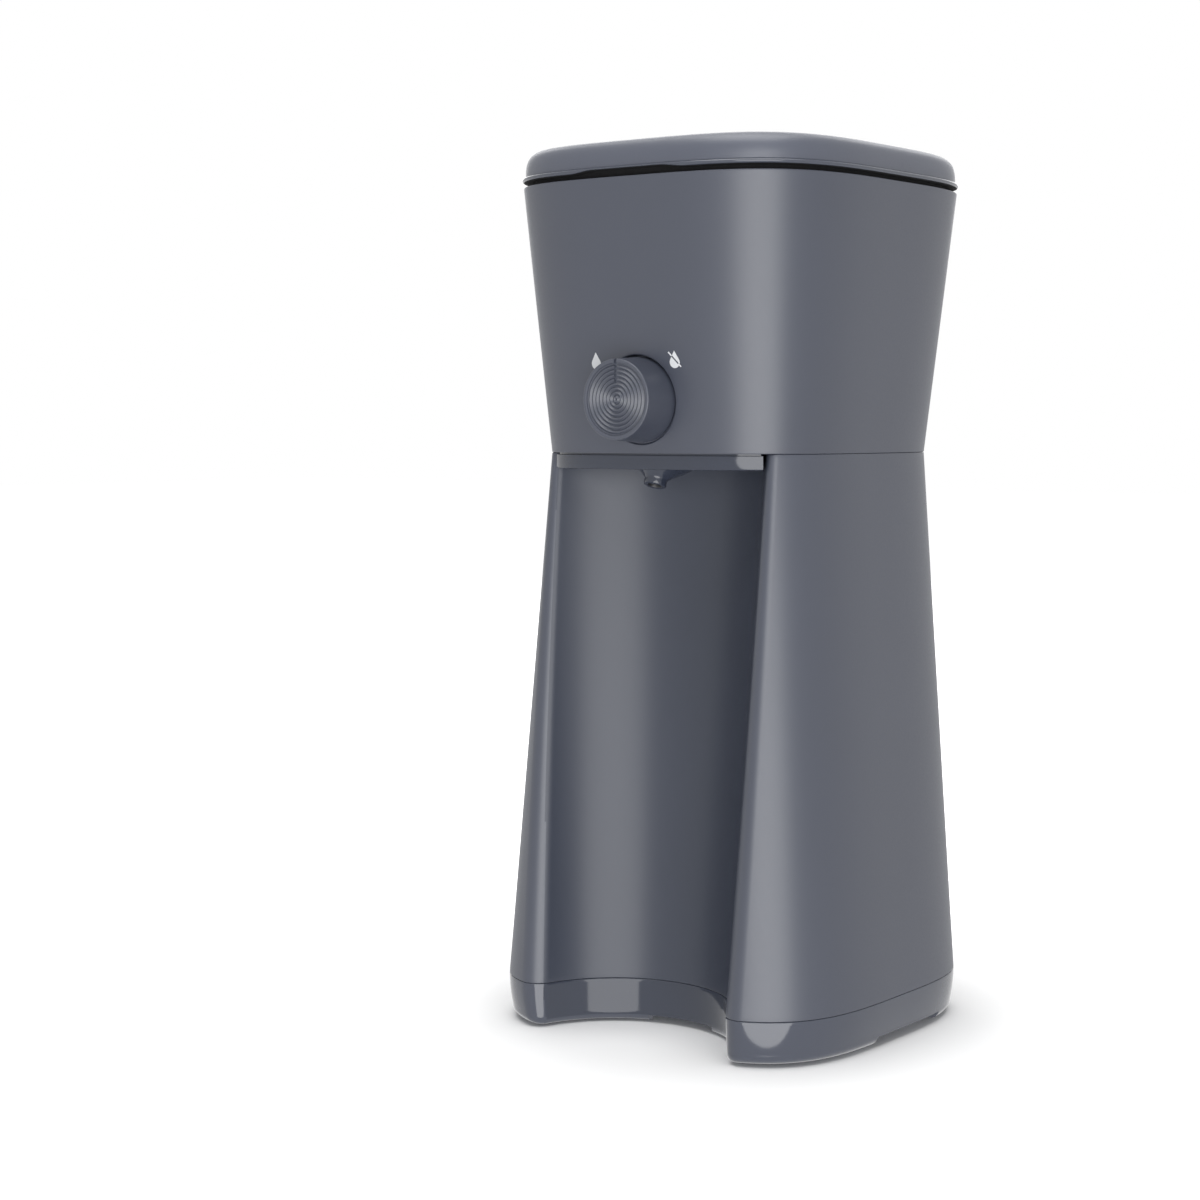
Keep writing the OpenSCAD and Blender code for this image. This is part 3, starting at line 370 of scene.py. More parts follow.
print("corner of the head's top, mm:", [round(v, 1) for v in outline(TOP_PLAN, math.pi / 4)])

# %% [markdown]
# ## Shells from rings
# A shell gathers points and faces. It can skin a stack of rings, close the ends with flat faces, or spin a
# profile round an axis, and one piece may be made of several shells. When the piece is made, its faces are
# turned outwards, smoothed, and kept sharp only where two faces meet at a real edge.


# %% Shell
class Shell:
    def __init__(self):
        self.points, self.faces = [], []

    def rows(self, rings):
        """Adds rings of points and gives back their numbers."""
        first = len(self.points)
        count = len(rings[0])
        for row in rings:
            self.points += row
        return [[first + j * count + i for i in range(count)] for j in range(len(rings))]

    def band(self, rows):
        """Joins rings of numbers with faces, each to the next."""
        for a, b in zip(rows, rows[1:]):
            for i in range(len(a)):
                n = (i + 1) % len(a)
                self.faces.append((a[i], b[i], b[n], a[n]))

    def loop(self, rings):
        """Skins rings and joins the last to the first, round a hollow."""
        rows = self.rows(rings)
        self.band(rows + rows[:1])
        return self

    def prism(self, rings):
        """Skins rings and closes both ends with flat faces."""
        rows = self.rows(rings)
        self.band(rows)
        self.faces += [tuple(rows[0]), tuple(reversed(rows[-1]))]
        return self

    def spin(self, profile, place, turns):
        """profile is a list of (radius, height); place puts (x, y, height) into the frame."""
        angles = [2 * math.pi * k / turns for k in range(turns)]
        return self.loop([[place(radius * math.cos(a), radius * math.sin(a), height) for a in angles]
                          for radius, height in profile])

    def block(self, low, high):
        (x0, y0, z0), (x1, y1, z1) = low, high
        return self.prism([[(x0, y0, z), (x1, y0, z), (x1, y1, z), (x0, y1, z)] for z in (z0, z1)])


# %% Pieces from shells
MERGE = 1e-7


def mesh_from(name, shell):
    mesh = bpy.data.meshes.new(name)
    mesh.from_pydata([(x * MM, (y + SHIFT_Y) * MM, z * MM) for x, y, z in shell.points], [], shell.faces)
    work = bmesh.new()
    work.from_mesh(mesh)
    bmesh.ops.remove_doubles(work, verts=work.verts, dist=MERGE)
    bmesh.ops.dissolve_degenerate(work, edges=work.edges, dist=MERGE)
    bmesh.ops.recalc_face_normals(work, faces=work.faces)
    work.to_mesh(mesh)
    work.free()
    return mesh


def combine(piece, shells, operation):
    """Adds shells to a piece (UNION) or takes them out of it (DIFFERENCE)."""
    for shell in shells:
        tool = bpy.data.objects.new("tool", mesh_from("tool", shell))
        bpy.context.scene.collection.objects.link(tool)
        modifier = piece.modifiers.new("combine", "BOOLEAN")
        modifier.operation, modifier.solver, modifier.object = operation, "EXACT", tool
        graph = bpy.context.evaluated_depsgraph_get()
        old = piece.data
        piece.data = bpy.data.meshes.new_from_object(piece.evaluated_get(graph))
        piece.data.name = old.name
        piece.modifiers.clear()
        bpy.data.meshes.remove(old)
        bpy.data.objects.remove(tool)


def piece_from(name, shell, finish, body, stands_for=(), joined=(), cutters=(), sharp=32):
    piece = bpy.data.objects.new(name, mesh_from(name, shell))
    bpy.context.scene.collection.objects.link(piece)
    combine(piece, joined, "UNION")
    combine(piece, cutters, "DIFFERENCE")
    mesh = piece.data
    mesh.materials.clear()
    mesh.materials.append(finish)
    mesh.polygons.foreach_set("use_smooth", [True] * len(mesh.polygons))
    mesh.set_sharp_from_angle(angle=math.radians(sharp))
    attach(piece, body)
    if stands_for:
        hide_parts(*stands_for)
    print(f"{name}: {len(mesh.vertices)} points, {len(mesh.polygons)} faces")
    return piece


# %% Rods and roundings
NEAR_AXIS = 0.01
QUARTER = [math.radians(a) for a in range(0, 91, 9)]
COARSE_QUARTER = QUARTER[::2]


def fillet(radius, angles=COARSE_QUARTER):
    """Steps round an edge: how far each lies in from the side, and how far down from the end."""
    return [(radius * (1 - math.cos(a)), radius * (1 - math.sin(a))) for a in angles]


def rod(radius, low, high):
    """The profile of a cylinder."""
    return [(NEAR_AXIS, low), (radius, low), (radius, high), (NEAR_AXIS, high)]


def upright(x, y):
    """Places a spun profile on an upright axis; heights are the frame's own."""
    return lambda u, v, h: (x + u, y + v, h)


def mirrored(low, high):
    """Blocks on both sides of the middle; low and high are the corners of the right one."""
    (x0, y0, z0), (x1, y1, z1) = low, high
    return [Shell().block((x0, y0, z0), (x1, y1, z1)), Shell().block((-x1, y0, z0), (-x0, y1, z1))]


# %% [markdown]
# ## The bay
# The front of the foot and the column is hollowed by an upright round bay, and the outline turns into it
# round a rounded nose on each side, which gets slimmer towards the waist. The nose is a small circle that
# touches both the outline and the bay, and its place is found by halving an interval until the two touch,
# which is short and always works.

# %% The outline with the bay
BAY_FRONT = 72.5
BAY_R_FOOT, BAY_R_WAIST = 40.0, 51.0
NOSE_R_FOOT, NOSE_R_WAIST = 7.0, 3.2
SIDE_STEPS, NOSE_STEPS, BAY_STEPS = 260, 18, 120
HALVINGS = 40


def spaced(a, b, steps):
    return [mix(a, b, i / steps) for i in range(steps + 1)]


def circle(x, y, radius, angles):
    return [(x + radius * math.cos(a), y + radius * math.sin(a)) for a in angles]


def bay_ring(plan, bay_r, nose_r, z):
    low, high = -math.pi / 2, 0.0
    for _ in range(HALVINGS):
        phi = (low + high) / 2
        (px, py), (nx, ny) = outline(plan, phi), outline_normal(plan, phi)
        miss = math.hypot(px - nose_r * nx, py - nose_r * ny + BAY_FRONT) - bay_r - nose_r
        low, high = (phi, high) if miss < 0 else (low, phi)
    cx, cy = px - nose_r * nx, py - nose_r * ny
    a_out, a_bay = math.atan2(ny, nx), math.atan2(cy + BAY_FRONT, cx)
    right = circle(cx, cy, nose_r, spaced(a_out, a_bay - math.pi, NOSE_STEPS)[1:])
    side = [outline(plan, a) for a in spaced(phi, math.pi - phi, SIDE_STEPS)]
    bay = circle(0, -BAY_FRONT, bay_r, spaced(math.pi - a_bay, a_bay, BAY_STEPS)[1:-1])
    flat = side + [(-x, y) for x, y in right] + bay + right[-2::-1]
    return [(x, y, z) for x, y in flat]


def bay_radius(z):
    return mix(BAY_R_FOOT, BAY_R_WAIST, column_share(z))


def column_ring(inset, z):
    nose_r = mix(NOSE_R_FOOT, NOSE_R_WAIST, column_share(z))
    return bay_ring(column_plan(z, inset), bay_radius(z) + inset, nose_r - inset, z)


print("points in one ring with the bay:", len(column_ring(0, 100)))

# %% The bay's painted shade
ON_WALL = 0.6


def paint_bay_shade(piece, finish):
    """Gives the faces of the bay's round wall the duller finish that paints the bay's shade."""
    piece.data.materials.append(finish)
    for face in piece.data.polygons:
        x, y, z = face.center / MM
        off_wall = abs(math.hypot(x, y - SHIFT_Y + BAY_FRONT) - bay_radius(max(z, SEAM_Z)))
        face.material_index = int(off_wall < ON_WALL and face.normal.y < 0)
    print("faces in the bay:", sum(face.material_index for face in piece.data.polygons))


# %% [markdown]
# ## The foot
# The foot is a shallow tray, moulded glossy, with a draft that grows downwards and a round lower edge.
# Fingers go under its sides in two recesses, and a shallow notch under the bay lets spilled water out. The
# tray is one stack of rings, and the recesses are cut out of it with blocks, as the mould's slides do. A line
# of shadow at its top is the seam to the column: both edges there are rounded and stand a hair apart.

# %% Foot profile
FOOT_GAP, FOOT_DRAFT, FOOT_FILLET = 0.8, 1.0, 3.4
BAY_DRAFT, BAY_FILLET, BAY_LIP = 0.4, 1.6, 4.0
FOOT_LIP = FOOT_DRAFT + FOOT_FILLET + 1.6
TRAY_LOW, TRAY_HIGH = 5.0, 7.5
SEAM_GAP, SEAM_ROUND = 0.04, 0.3
LEAST_NOSE = 1.2
BELLY_STEPS = 12


def foot_ring(inset, z, bay_inset):
    plan = plan_at(FOOT_PLAN, FOOT_PLAN, 0, inset)
    return bay_ring(plan, BAY_R_FOOT + bay_inset, max(NOSE_R_FOOT - inset, LEAST_NOSE), z)


# Each row is the inset from the outline, the height, and the inset from the bay's wall
foot_top = SEAM_Z - SEAM_GAP
lower_edge = [(FOOT_DRAFT + inset, FOOT_GAP + up, BAY_DRAFT + bay_inset) for (up, inset), (_, bay_inset)
              in zip(fillet(FOOT_FILLET, QUARTER), fillet(BAY_FILLET, QUARTER))]
wall_low, wall_high = FOOT_GAP + FOOT_FILLET, foot_top - SEAM_ROUND
belly = [(FOOT_DRAFT * (1 - t) ** 2, mix(wall_low, wall_high, t), BAY_DRAFT * (1 - t))
         for t in (i / BELLY_STEPS for i in range(1, BELLY_STEPS))]
seam_edge = [(inset, foot_top - down, inset) for inset, down in fillet(SEAM_ROUND)]
tray_edge = [(FOOT_LIP, TRAY_LOW, BAY_LIP), (FOOT_LIP, FOOT_GAP, BAY_LIP)]
foot_profile = (tray_edge + lower_edge + belly + seam_edge
                + [(WALL, foot_top, WALL), (FOOT_DRAFT + WALL, TRAY_HIGH, WALL)])
print("rings in the foot:", len(foot_profile))

# %% Foot
RECESS_X, RECESS_Y, RECESS_H = (62.0, 82.0), (-14.5, 31.0), 3.6
DRAIN_HALF, DRAIN_BACK, DRAIN_H = 14.0, -20.5, 1.8
UNDER_FLOOR = -1.0
foot_shell = Shell().prism([foot_ring(*row) for row in foot_profile])
recesses = mirrored((RECESS_X[0], RECESS_Y[0], UNDER_FLOOR), (RECESS_X[1], RECESS_Y[1], RECESS_H))
drain = Shell().block((-DRAIN_HALF, -BAY_FRONT, UNDER_FLOOR), (DRAIN_HALF, DRAIN_BACK, FOOT_GAP + DRAIN_H))
foot = piece_from("foot_tray", foot_shell, gloss_slate, "body", ["foot_housing"],
                  cutters=recesses + [drain])
paint_bay_shade(foot, gloss_bay_painted_shade)

# %% [markdown]
# ## The column
# The column is one tall shell with a spark-eroded satin surface. Its rings shrink steadily upwards while the
# bay in it widens, so the legs beside the bay get slimmer towards the waist. A hole low on the back takes the
# cord's gland.

# %% Column
GLAND_Y, GLAND_Z, GLAND_HOLE_R, GLAND_HOLE_SPAN = 68.8, 30.0, 6.05, (-14, 8)
COLUMN_STEPS, COLUMN_END = 30, 2.0


def seam_rings(z, up):
    """Insets and heights round a seam edge, from the gap outwards."""
    return [(inset, z + up * (SEAM_GAP + down)) for inset, down in reversed(fillet(SEAM_ROUND))]


levels = [(0.0, z) for z in spaced(SEAM_Z + COLUMN_END, WAIST_Z - COLUMN_END, COLUMN_STEPS)]
column_profile = (seam_rings(SEAM_Z, 1) + levels + seam_rings(WAIST_Z, -1)[::-1]
                  + [(WALL, WAIST_Z - SEAM_GAP), (WALL, SEAM_Z + SEAM_GAP)])
column_shell = Shell().loop([column_ring(*row) for row in column_profile])
gland_hole = Shell().spin(rod(GLAND_HOLE_R, *GLAND_HOLE_SPAN),
                          lambda x, y, h: (x, GLAND_Y + h, GLAND_Z + y), 48)
column = piece_from("column", column_shell, satin_slate, "body", ["column_shell"],
                    cutters=[gland_hole])
paint_bay_shade(column, satin_bay_painted_shade)

# %% [markdown]
# ## The head
# The head flares from the waist to its top and has a round pocket for the knob, cut square into the leaning
# front, so its rim is deeper at the top. A clean rim needs points that run round it, so the squares of the
# front there are left out, and rings lead from the edge of that window to the pocket's rim and on down into
# the pocket. At the back the top edge is lower, which leaves room for the hinge.

# %% Head sizes and rings
HEAD_TOP = TOP_Z - 0.5
DECK_Z = TOP_Z - 10.5
KNOB_Z, POCKET_Y, POCKET_R, POCKET_ROUND = 224.5, -57.3, 15.3, 0.45
RELIEF, RELIEF_X, RELIEF_RAMP = 4.2, 46.0, 20.0
# Heights over the waist: close together beside the pocket, wider above it
WINDOW_HEIGHTS = (1.1, 2, 4, 7, 10, 13, 16, 19, 22, 25, 28, 31, 34, 38, 42)
UPPER_STEP, UPPER_COUNT = 4.6, 10
head_heights = ([WAIST_Z + v for v in WINDOW_HEIGHTS]
                + [WAIST_Z + WINDOW_HEIGHTS[-1] + UPPER_STEP * i for i in range(1, UPPER_COUNT + 1)]
                + [TOP_Z - 4, TOP_Z - 1.5])


def head_y(x, z, inset):
    """Where the front lies at a place beside and over the middle."""
    width, depth, back = head_plan(z, inset)
    return back - depth / 2 * (1 - (2 * abs(x) / width) ** SQUARENESS) ** (1 / SQUARENESS)


def head_ring(inset, z):
    """A ring of the head, drawn down at the back to the hinge's relief near the top."""
    row = []
    for phi in PHIS:
        x, y = outline(head_plan(z, inset), phi)
        ramp = max(0.0, (z - TOP_Z + RELIEF_RAMP) / RELIEF_RAMP)
        down = RELIEF * (y > 0 and abs(x) < RELIEF_X) * ramp
        row.append((*outline(head_plan(z - down, inset), phi), z - down))
    return row


def pocket_ring(radius, y, angles):
    return [(radius * math.cos(a), y, KNOB_Z + radius * math.sin(a)) for a in angles]


print("rings in the head's side:", len(head_heights))

# %% Head with a window
WINDOW_HALF = 19
LOW_ROW, HIGH_ROW = 0, len(WINDOW_HEIGHTS) - 1
LEAD_IN = (0.3, 0.6, 0.85, 1.0)


def head_skin(shell, inset, heights, rim_r):
    """Skins the head's side round the window, and leads rings to the rim; gives rows, rim and angles."""
    rows = shell.rows([head_ring(inset, z) for z in heights])
    for j in range(len(rows) - 1):
        for i in range(RING):
            k = (i + RING // 2) % RING - RING // 2
            if LOW_ROW <= j < HIGH_ROW and -WINDOW_HALF <= k < WINDOW_HALF:
                continue
            n = (i + 1) % RING
            shell.faces.append((rows[j][i], rows[j + 1][i], rows[j + 1][n], rows[j][n]))
    edge = ([rows[LOW_ROW][k % RING] for k in range(-WINDOW_HALF, WINDOW_HALF + 1)]
            + [rows[j][WINDOW_HALF] for j in range(LOW_ROW + 1, HIGH_ROW + 1)]
            + [rows[HIGH_ROW][k % RING] for k in reversed(range(-WINDOW_HALF, WINDOW_HALF))]
            + [rows[j][-WINDOW_HALF % RING] for j in range(HIGH_ROW - 1, LOW_ROW, -1)])
    angles = [math.atan2(shell.points[v][2] - KNOB_Z, shell.points[v][0]) for v in edge]
    lead = [edge]
    for t in LEAD_IN:
        points = []
        for v, a in zip(edge, angles):
            x = mix(shell.points[v][0], rim_r * math.cos(a), t)
            z = mix(shell.points[v][2], KNOB_Z + rim_r * math.sin(a), t)
            points.append((x, head_y(x, z, inset), z))
        lead += shell.rows([points])
    shell.band(lead)
    return rows, lead[-1], angles


POCKET_WALL, LEDGE_SLOPE = 2.0, 5.0
head_shell = Shell()
outer_rows, outer_rim, angles = head_skin(head_shell, 0.0, head_heights, POCKET_R + POCKET_ROUND)
inner_heights = [z for z in head_heights if z < DECK_Z - LEDGE_SLOPE]
inner_rows, inner_rim, _ = head_skin(head_shell, WALL, inner_heights, POCKET_R + POCKET_WALL)
print("points round the pocket:", len(outer_rim))

# %% The knob's pocket
POCKET_FLOOR, HUB_DEPTH = 2.4, 5.2
HUB_HOLE_R, HUB_R = 6.0, 8.5
POCKET_EDGE = 0.3
HUB_Y = POCKET_Y + HUB_DEPTH
pocket_rows = []
for sink, out in fillet(POCKET_ROUND)[1:]:
    flat = pocket_ring(POCKET_R + out, 0.0, angles)
    pocket_rows.append([(x, head_y(x, z, 0) + sink, z) for x, _, z in flat])
pocket_rows += [pocket_ring(r, y, angles) for r, y in (
    (POCKET_R, POCKET_Y - POCKET_EDGE), (POCKET_R - POCKET_EDGE, POCKET_Y),
    (HUB_HOLE_R + POCKET_EDGE, POCKET_Y), (HUB_HOLE_R, POCKET_Y + POCKET_EDGE), (HUB_HOLE_R, HUB_Y),
    (HUB_R, HUB_Y), (HUB_R, POCKET_Y + POCKET_FLOOR), (POCKET_R + POCKET_WALL, POCKET_Y + POCKET_FLOOR))]
head_shell.band([outer_rim] + head_shell.rows(pocket_rows) + [inner_rim])
print("rings down the pocket:", len(pocket_rows))

# %% The head's edges
TOP_ROUND, LEDGE_W, LEDGE_H = 0.5, 2.6, 1.5
top_edge = [head_ring(inset, HEAD_TOP - down) for inset, down in fillet(TOP_ROUND)]
inside = [head_ring(inset, z) for inset, z in (
    (WALL - TOP_ROUND, HEAD_TOP), (WALL, HEAD_TOP - TOP_ROUND), (WALL, DECK_Z), (WALL + LEDGE_W, DECK_Z),
    (WALL + LEDGE_W, DECK_Z - LEDGE_H), (WALL, DECK_Z - LEDGE_SLOPE))]
head_shell.band([outer_rows[-1]] + head_shell.rows(top_edge + inside) + [inner_rows[-1]])
low_edge = [(WALL, WAIST_Z + SEAM_GAP)] + seam_rings(WAIST_Z, 1) + [(0, WAIST_Z + 0.8)]
low_rows = head_shell.rows([head_ring(*row) for row in low_edge])
head_shell.band([inner_rows[0]] + low_rows + [outer_rows[0]])
print("points in the head:", len(head_shell.points))

# %% Hinge ears and the head
HINGE_Y, HINGE_Z, HINGE_R = 72.0, 303.0, 3.2
EARS = ((10.0, 14.6), (25.4, 30.0))
EAR_FOOT_Z, EAR_BACK, EAR_FRONT = 294.7, 2.2, 2.4
EAR_MIDDLE_Z = HINGE_Z - 2
EAR_EDGE, EAR_SHRINK = 0.4, 0.9


def hinge_arc(degrees):
    """Points round the hinge's axis, seen from the side."""
    return circle(HINGE_Y, HINGE_Z, HINGE_R, [math.radians(d) for d in degrees])


def add_ear(shell, x0, x1):
    """A hinge ear: an upright with a round end about the hinge's axis."""
    side = ([(HINGE_Y + EAR_BACK, EAR_FOOT_Z)] + hinge_arc(range(-46, 229, 11))
            + [(HINGE_Y - EAR_FRONT, EAR_FOOT_Z)])
    ends = ((x0, EAR_SHRINK), (x0 + EAR_EDGE, 1.0), (x1 - EAR_EDGE, 1.0), (x1, EAR_SHRINK))
    shell.prism([[(x, mix(HINGE_Y, y, size), mix(EAR_MIDDLE_Z, z, size)) for y, z in side]
                 for x, size in ends])


for sign in (1, -1):
    for x0, x1 in EARS:
        add_ear(head_shell, sign * x0, sign * x1)
piece_from("head", head_shell, satin_slate, "body", ["head_shell"])

# %% [markdown]
# ## The lid
# The lid is a shallow domed cover with a bead-like rim that stands out past the head. Its profile runs from
# under the rim, round the bead, up a nearly upright side and over a soft shoulder to a faintly domed top. The
# rim is thinner at the front, where a finger lifts it. The rim was polished in the mould, so its faces take
# the glossy finish. A lip inside the rim centres the lid; it and the rim's underside are painted black as the
# shade in the gap, which closes the gap to the eye, and the lip fades out towards the back, where windows
# make room for the hinge's ears.

# %% Lid rings
LID_Z, LID_H, RIM_H, LID_WALL = TOP_Z + 0.8, 12.2, 2.0, 2.2
LID_PLAN = (132.0, 145.0, 4.5)
NOTCH_HALF, NOTCH_END, NOTCH_H = 24.0, 9.5, 1.1
LIP_FADE_Y, LIP_FADE = 36.0, 20.0


def clamp(value):
    return min(1.0, max(0.0, value))


def smooth(points, steps):
    """A curve through points, by the cubic rule that takes each tangent from the neighbours."""
    out = []
    for i in range(len(points) - 1):
        p = [points[max(0, min(len(points) - 1, i + k))] for k in (-1, 0, 1, 2)]
        for s in range(steps):
            t = s / steps
            out.append(tuple(0.5 * (2 * b + (c - a) * t + (2 * a - 5 * b + 4 * c - d) * t * t
                                    + (3 * b - a - 3 * c + d) * t ** 3) for a, b, c, d in zip(*p)))
    return out + [points[-1]]


def lid_ring(inset, height):
    """A ring of the lid, lifted at the finger notch in front and, on the lip, towards the back."""
    row = []
    for phi in PHIS:
        x, y = outline(plan_at(LID_PLAN, LID_PLAN, 0, inset), phi)
        lift = 0.0
        if y < 0 and height < RIM_H:
            edge = clamp((NOTCH_HALF - abs(x)) / NOTCH_END)
            lift = NOTCH_H * edge * edge * (3 - 2 * edge) * (1 - height / RIM_H)
        if height < 0:
            lift = -height * clamp((y - LIP_FADE_Y) / LIP_FADE)
        row.append((x, y, LID_Z + height + lift))
    return row


print("points in one ring of the lid:", len(lid_ring(0, RIM_H)))

# %% Lid profile
RIM_LOW, LIP_H = 0.5, -2.4
BEAD_R = (RIM_H - RIM_LOW) / 2
rise = LID_H - RIM_H
# Each point is an inset from the rim's outline and a height over the lid's lower plane
under = [(34.0, LID_H - LID_WALL), (14.0, RIM_H + 0.96 * rise - LID_WALL),
         (7.0, RIM_H + 0.88 * rise - LID_WALL), (5.8, RIM_H + 0.6 * rise - LID_WALL), (5.4, 0.5),
         (5.2, LIP_H), (4.3, LIP_H), (4.1, 0.4), (3.2, 0.4)]
bead = [(inset, RIM_LOW + up) for up, inset in fillet(BEAD_R)]
bead += [(inset, RIM_LOW + RIM_H - height) for inset, height in bead[-2::-1]]
side = smooth([(1.15, RIM_H + 0.3), (1.3, RIM_H + 0.35 * rise), (2.0, RIM_H + 0.62 * rise),
               (3.4, RIM_H + 0.8 * rise), (6.0, RIM_H + 0.915 * rise), (14.0, RIM_H + 0.963 * rise),
               (34.0, LID_H - 0.06), (50.0, LID_H), (62.0, LID_H)], 5)
lid_shell = Shell().prism([lid_ring(*point) for point in under + bead + side])
print("rings in the lid:", len(under + bead + side))

# %% Lid
EAR_ROOM, WINDOW_DEPTH = 0.5, (-6.0, 14.0)
WINDOW_TOP = HINGE_Z + HINGE_R + 0.7
# Faces on the rim lie below RIM_TOP; of those, the lip's and the ones that face down are in the gap and are
# painted black as its shade
RIM_TOP, LIP_TOP, FACING_DOWN = RIM_H + 0.2, 0.2, -0.97
windows = mirrored((EARS[0][0] - EAR_ROOM, HINGE_Y + WINDOW_DEPTH[0], LID_Z - 1),
                   (EARS[1][1] + EAR_ROOM, HINGE_Y + WINDOW_DEPTH[1], WINDOW_TOP))
lid = piece_from("lid_cover", lid_shell, satin_lid_painted_light, "lid", ["lid_shell"], cutters=windows)
lid.data.materials.append(gloss_slate)
lid.data.materials.append(black_painted_gap_shade)
for face in lid.data.polygons:
    height = face.center.z / MM - LID_Z
    in_painted_gap_shade = height < LIP_TOP or face.normal.z < FACING_DOWN
    face.material_index = (2 if in_painted_gap_shade else 1) if height < RIM_TOP else 0

# %% Lid knuckles
KNUCKLE_X, KNUCKLE_TOP, KNUCKLE_REACH = (15.0, 25.0), 310.9, 5.6
knuckle_shell = Shell()
knuckle_front = HINGE_Y - KNUCKLE_REACH
knuckle = hinge_arc(range(-180, 91, 10)) + [
    (HINGE_Y, KNUCKLE_TOP), (knuckle_front, KNUCKLE_TOP), (knuckle_front, HINGE_Z)]
for sign in (1, -1):
    knuckle_shell.prism([[(sign * x, y, z) for y, z in knuckle] for x in KNUCKLE_X])
knuckles = piece_from("lid_knuckles", knuckle_shell, satin_lid_painted_light, "lid")
bevel_edges(knuckles, width=0.3, angle=32)

# %% [markdown]
# ## The knob
# The knob is a slightly tapered cap with fine rings turned into its face, a raised rim, and one groove at
# the top as a pointer. A profile spun round the knob's axis gives the rings as real ridges, because a bump
# in the finish would leave its outline flat, and the groove is milled out with a round-ended cutter.

# %% Knob profile
KNOB_OUT, KNOB_R_FACE, KNOB_R_BACK = 15.6, 13.8, 14.7
KNOB_GAP, KNOB_INSIDE, KNOB_WALL = 0.6, 12.0, 2.0
STEM_HOLE_R, KNOB_HUB_R = 4.0, 7.0
RIDGES, RIDGE_STEPS, RIDGE_SINK, RIDGE_H = 8, 8, 0.45, 0.30
RIDGE_PITCH = (KNOB_R_FACE - 2.0) / RIDGES
RIM_ROUND = 0.45


def from_pocket(x, y, h):
    return x, POCKET_Y - h, KNOB_Z + y


ridges = []
for i in range(RIDGES * RIDGE_STEPS, -1, -1):
    r = RIDGE_PITCH * i / RIDGE_STEPS
    ridges.append((max(r, 0.02), KNOB_OUT - RIDGE_SINK - RIDGE_H * math.cos(2 * math.pi * r / RIDGE_PITCH)))
inside = [(STEM_HOLE_R, KNOB_INSIDE), (STEM_HOLE_R, KNOB_GAP), (KNOB_HUB_R, KNOB_GAP),
          (KNOB_HUB_R, KNOB_INSIDE), (KNOB_R_FACE - KNOB_WALL, KNOB_INSIDE),
          (KNOB_R_BACK - KNOB_WALL - 0.2, KNOB_GAP)]
skirt = [(KNOB_R_BACK - 0.3, KNOB_GAP), (KNOB_R_BACK, KNOB_GAP + 0.3)]
rim = [(KNOB_R_FACE - inset, KNOB_OUT - down) for inset, down in fillet(RIM_ROUND, QUARTER)]
rim += [(KNOB_R_FACE - 1.1, KNOB_OUT), (KNOB_R_FACE - 1.4, KNOB_OUT - 0.15),
        (KNOB_R_FACE - 1.6, KNOB_OUT - 0.6)]
print("ridges' pitch, mm:", round(RIDGE_PITCH, 2))

# %% Knob
POINTER_HALF, POINTER_START, POINTER_END, POINTER_DEPTH = 0.6, 6.2, 20.0, 1.0
knob_shell = Shell().spin(inside + skirt + rim + ridges, from_pocket, 160)
round_end = [math.radians(a) for a in range(180, 361, 15)]
pointer = circle(0, POINTER_START, POINTER_HALF, round_end)
pointer += [(POINTER_HALF, POINTER_END), (-POINTER_HALF, POINTER_END)]
groove = Shell().prism([[from_pocket(x, y, h) for x, y in pointer]
                        for h in (KNOB_OUT - POINTER_DEPTH, KNOB_OUT + 2)])
piece_from("knob_cap", knob_shell, satin_slate, "knob", ["knob"], cutters=[groove])

# %% [markdown]
# ## The drip plate
# Under the head, a glossy plate closes the top of the bay, and its front edge shows as a narrow fascia below
# the waist, with a fine groove over it. Out of sight it carries a wall for the knob's stem and a funnel under
# the valve, so the moulding is joined from four simple shells and then bored.

# %% Fascia
FASCIA_Z, FASCIA_INSET, FASCIA_STEPS = 200.5, 1.0, 90
CEILING_GAP = 0.6
GROOVE_H, GROOVE_IN = 0.5, 0.8
fascia_plan = column_plan((FASCIA_Z + WAIST_Z) / 2, FASCIA_INSET)
ceiling_r = bay_radius(FASCIA_Z) - CEILING_GAP


def fascia_ring(inset, z):
    """The front edge along the outline, then back along the bay's wall."""
    plan, bay_r = plan_at(fascia_plan, fascia_plan, 0, inset), ceiling_r - inset
    low, high = -math.pi / 2, 0.0
    for _ in range(HALVINGS):
        phi = (low + high) / 2
        x, y = outline(plan, phi)
        low, high = (phi, high) if math.hypot(x, y + BAY_FRONT) < bay_r else (low, phi)
    angle = math.atan2(y + BAY_FRONT, x)
    front = [outline(plan, a) for a in spaced(-math.pi - phi, phi, FASCIA_STEPS)]
    back = circle(0, -BAY_FRONT, bay_r, spaced(angle, math.pi - angle, FASCIA_STEPS)[1:-1])
    return [(x, y, z) for x, y in front + back]


groove_z = WAIST_Z - GROOVE_H
fascia_edge = ((0.5, FASCIA_Z), (0.15, FASCIA_Z + 0.15), (0.0, FASCIA_Z + 0.5), (0.0, groove_z - 0.2),
               (0.2, groove_z), (GROOVE_IN, groove_z), (GROOVE_IN, WAIST_Z + 1))
fascia_shell = Shell().prism([fascia_ring(*row) for row in fascia_edge])
print("fascia, mm high:", WAIST_Z - FASCIA_Z)

# %% Drip plate
VALVE_Y = -44.0
PLATE_TOP, PLATE_BACK, PLATE_ROOM = WAIST_Z + 2.5, 8.0, 0.3
FUNNEL_R, FUNNEL_H, FUNNEL_MOUTH, FUNNEL_NECK = 8.5, 4.0, (7.0, 212.6), (3.4, 204.5)
BEARING_Y, BEARING_W, BEARING_HALF, BEARING_TOP, STEM_R = -37.0, 3.0, 9.0, KNOB_Z + 8.5, 4.06
# Half distance, depth and radius of the holes for the head's and the plate's own screws
SCREW_HOLES = ((47.5, -16, 5.2), (41.5, -32, 1.7))
SINK = 0.5


def along_y(u, v, h):
    """Places a spun profile on the knob's axis; heights run to the back."""
    return u, h, KNOB_Z + v


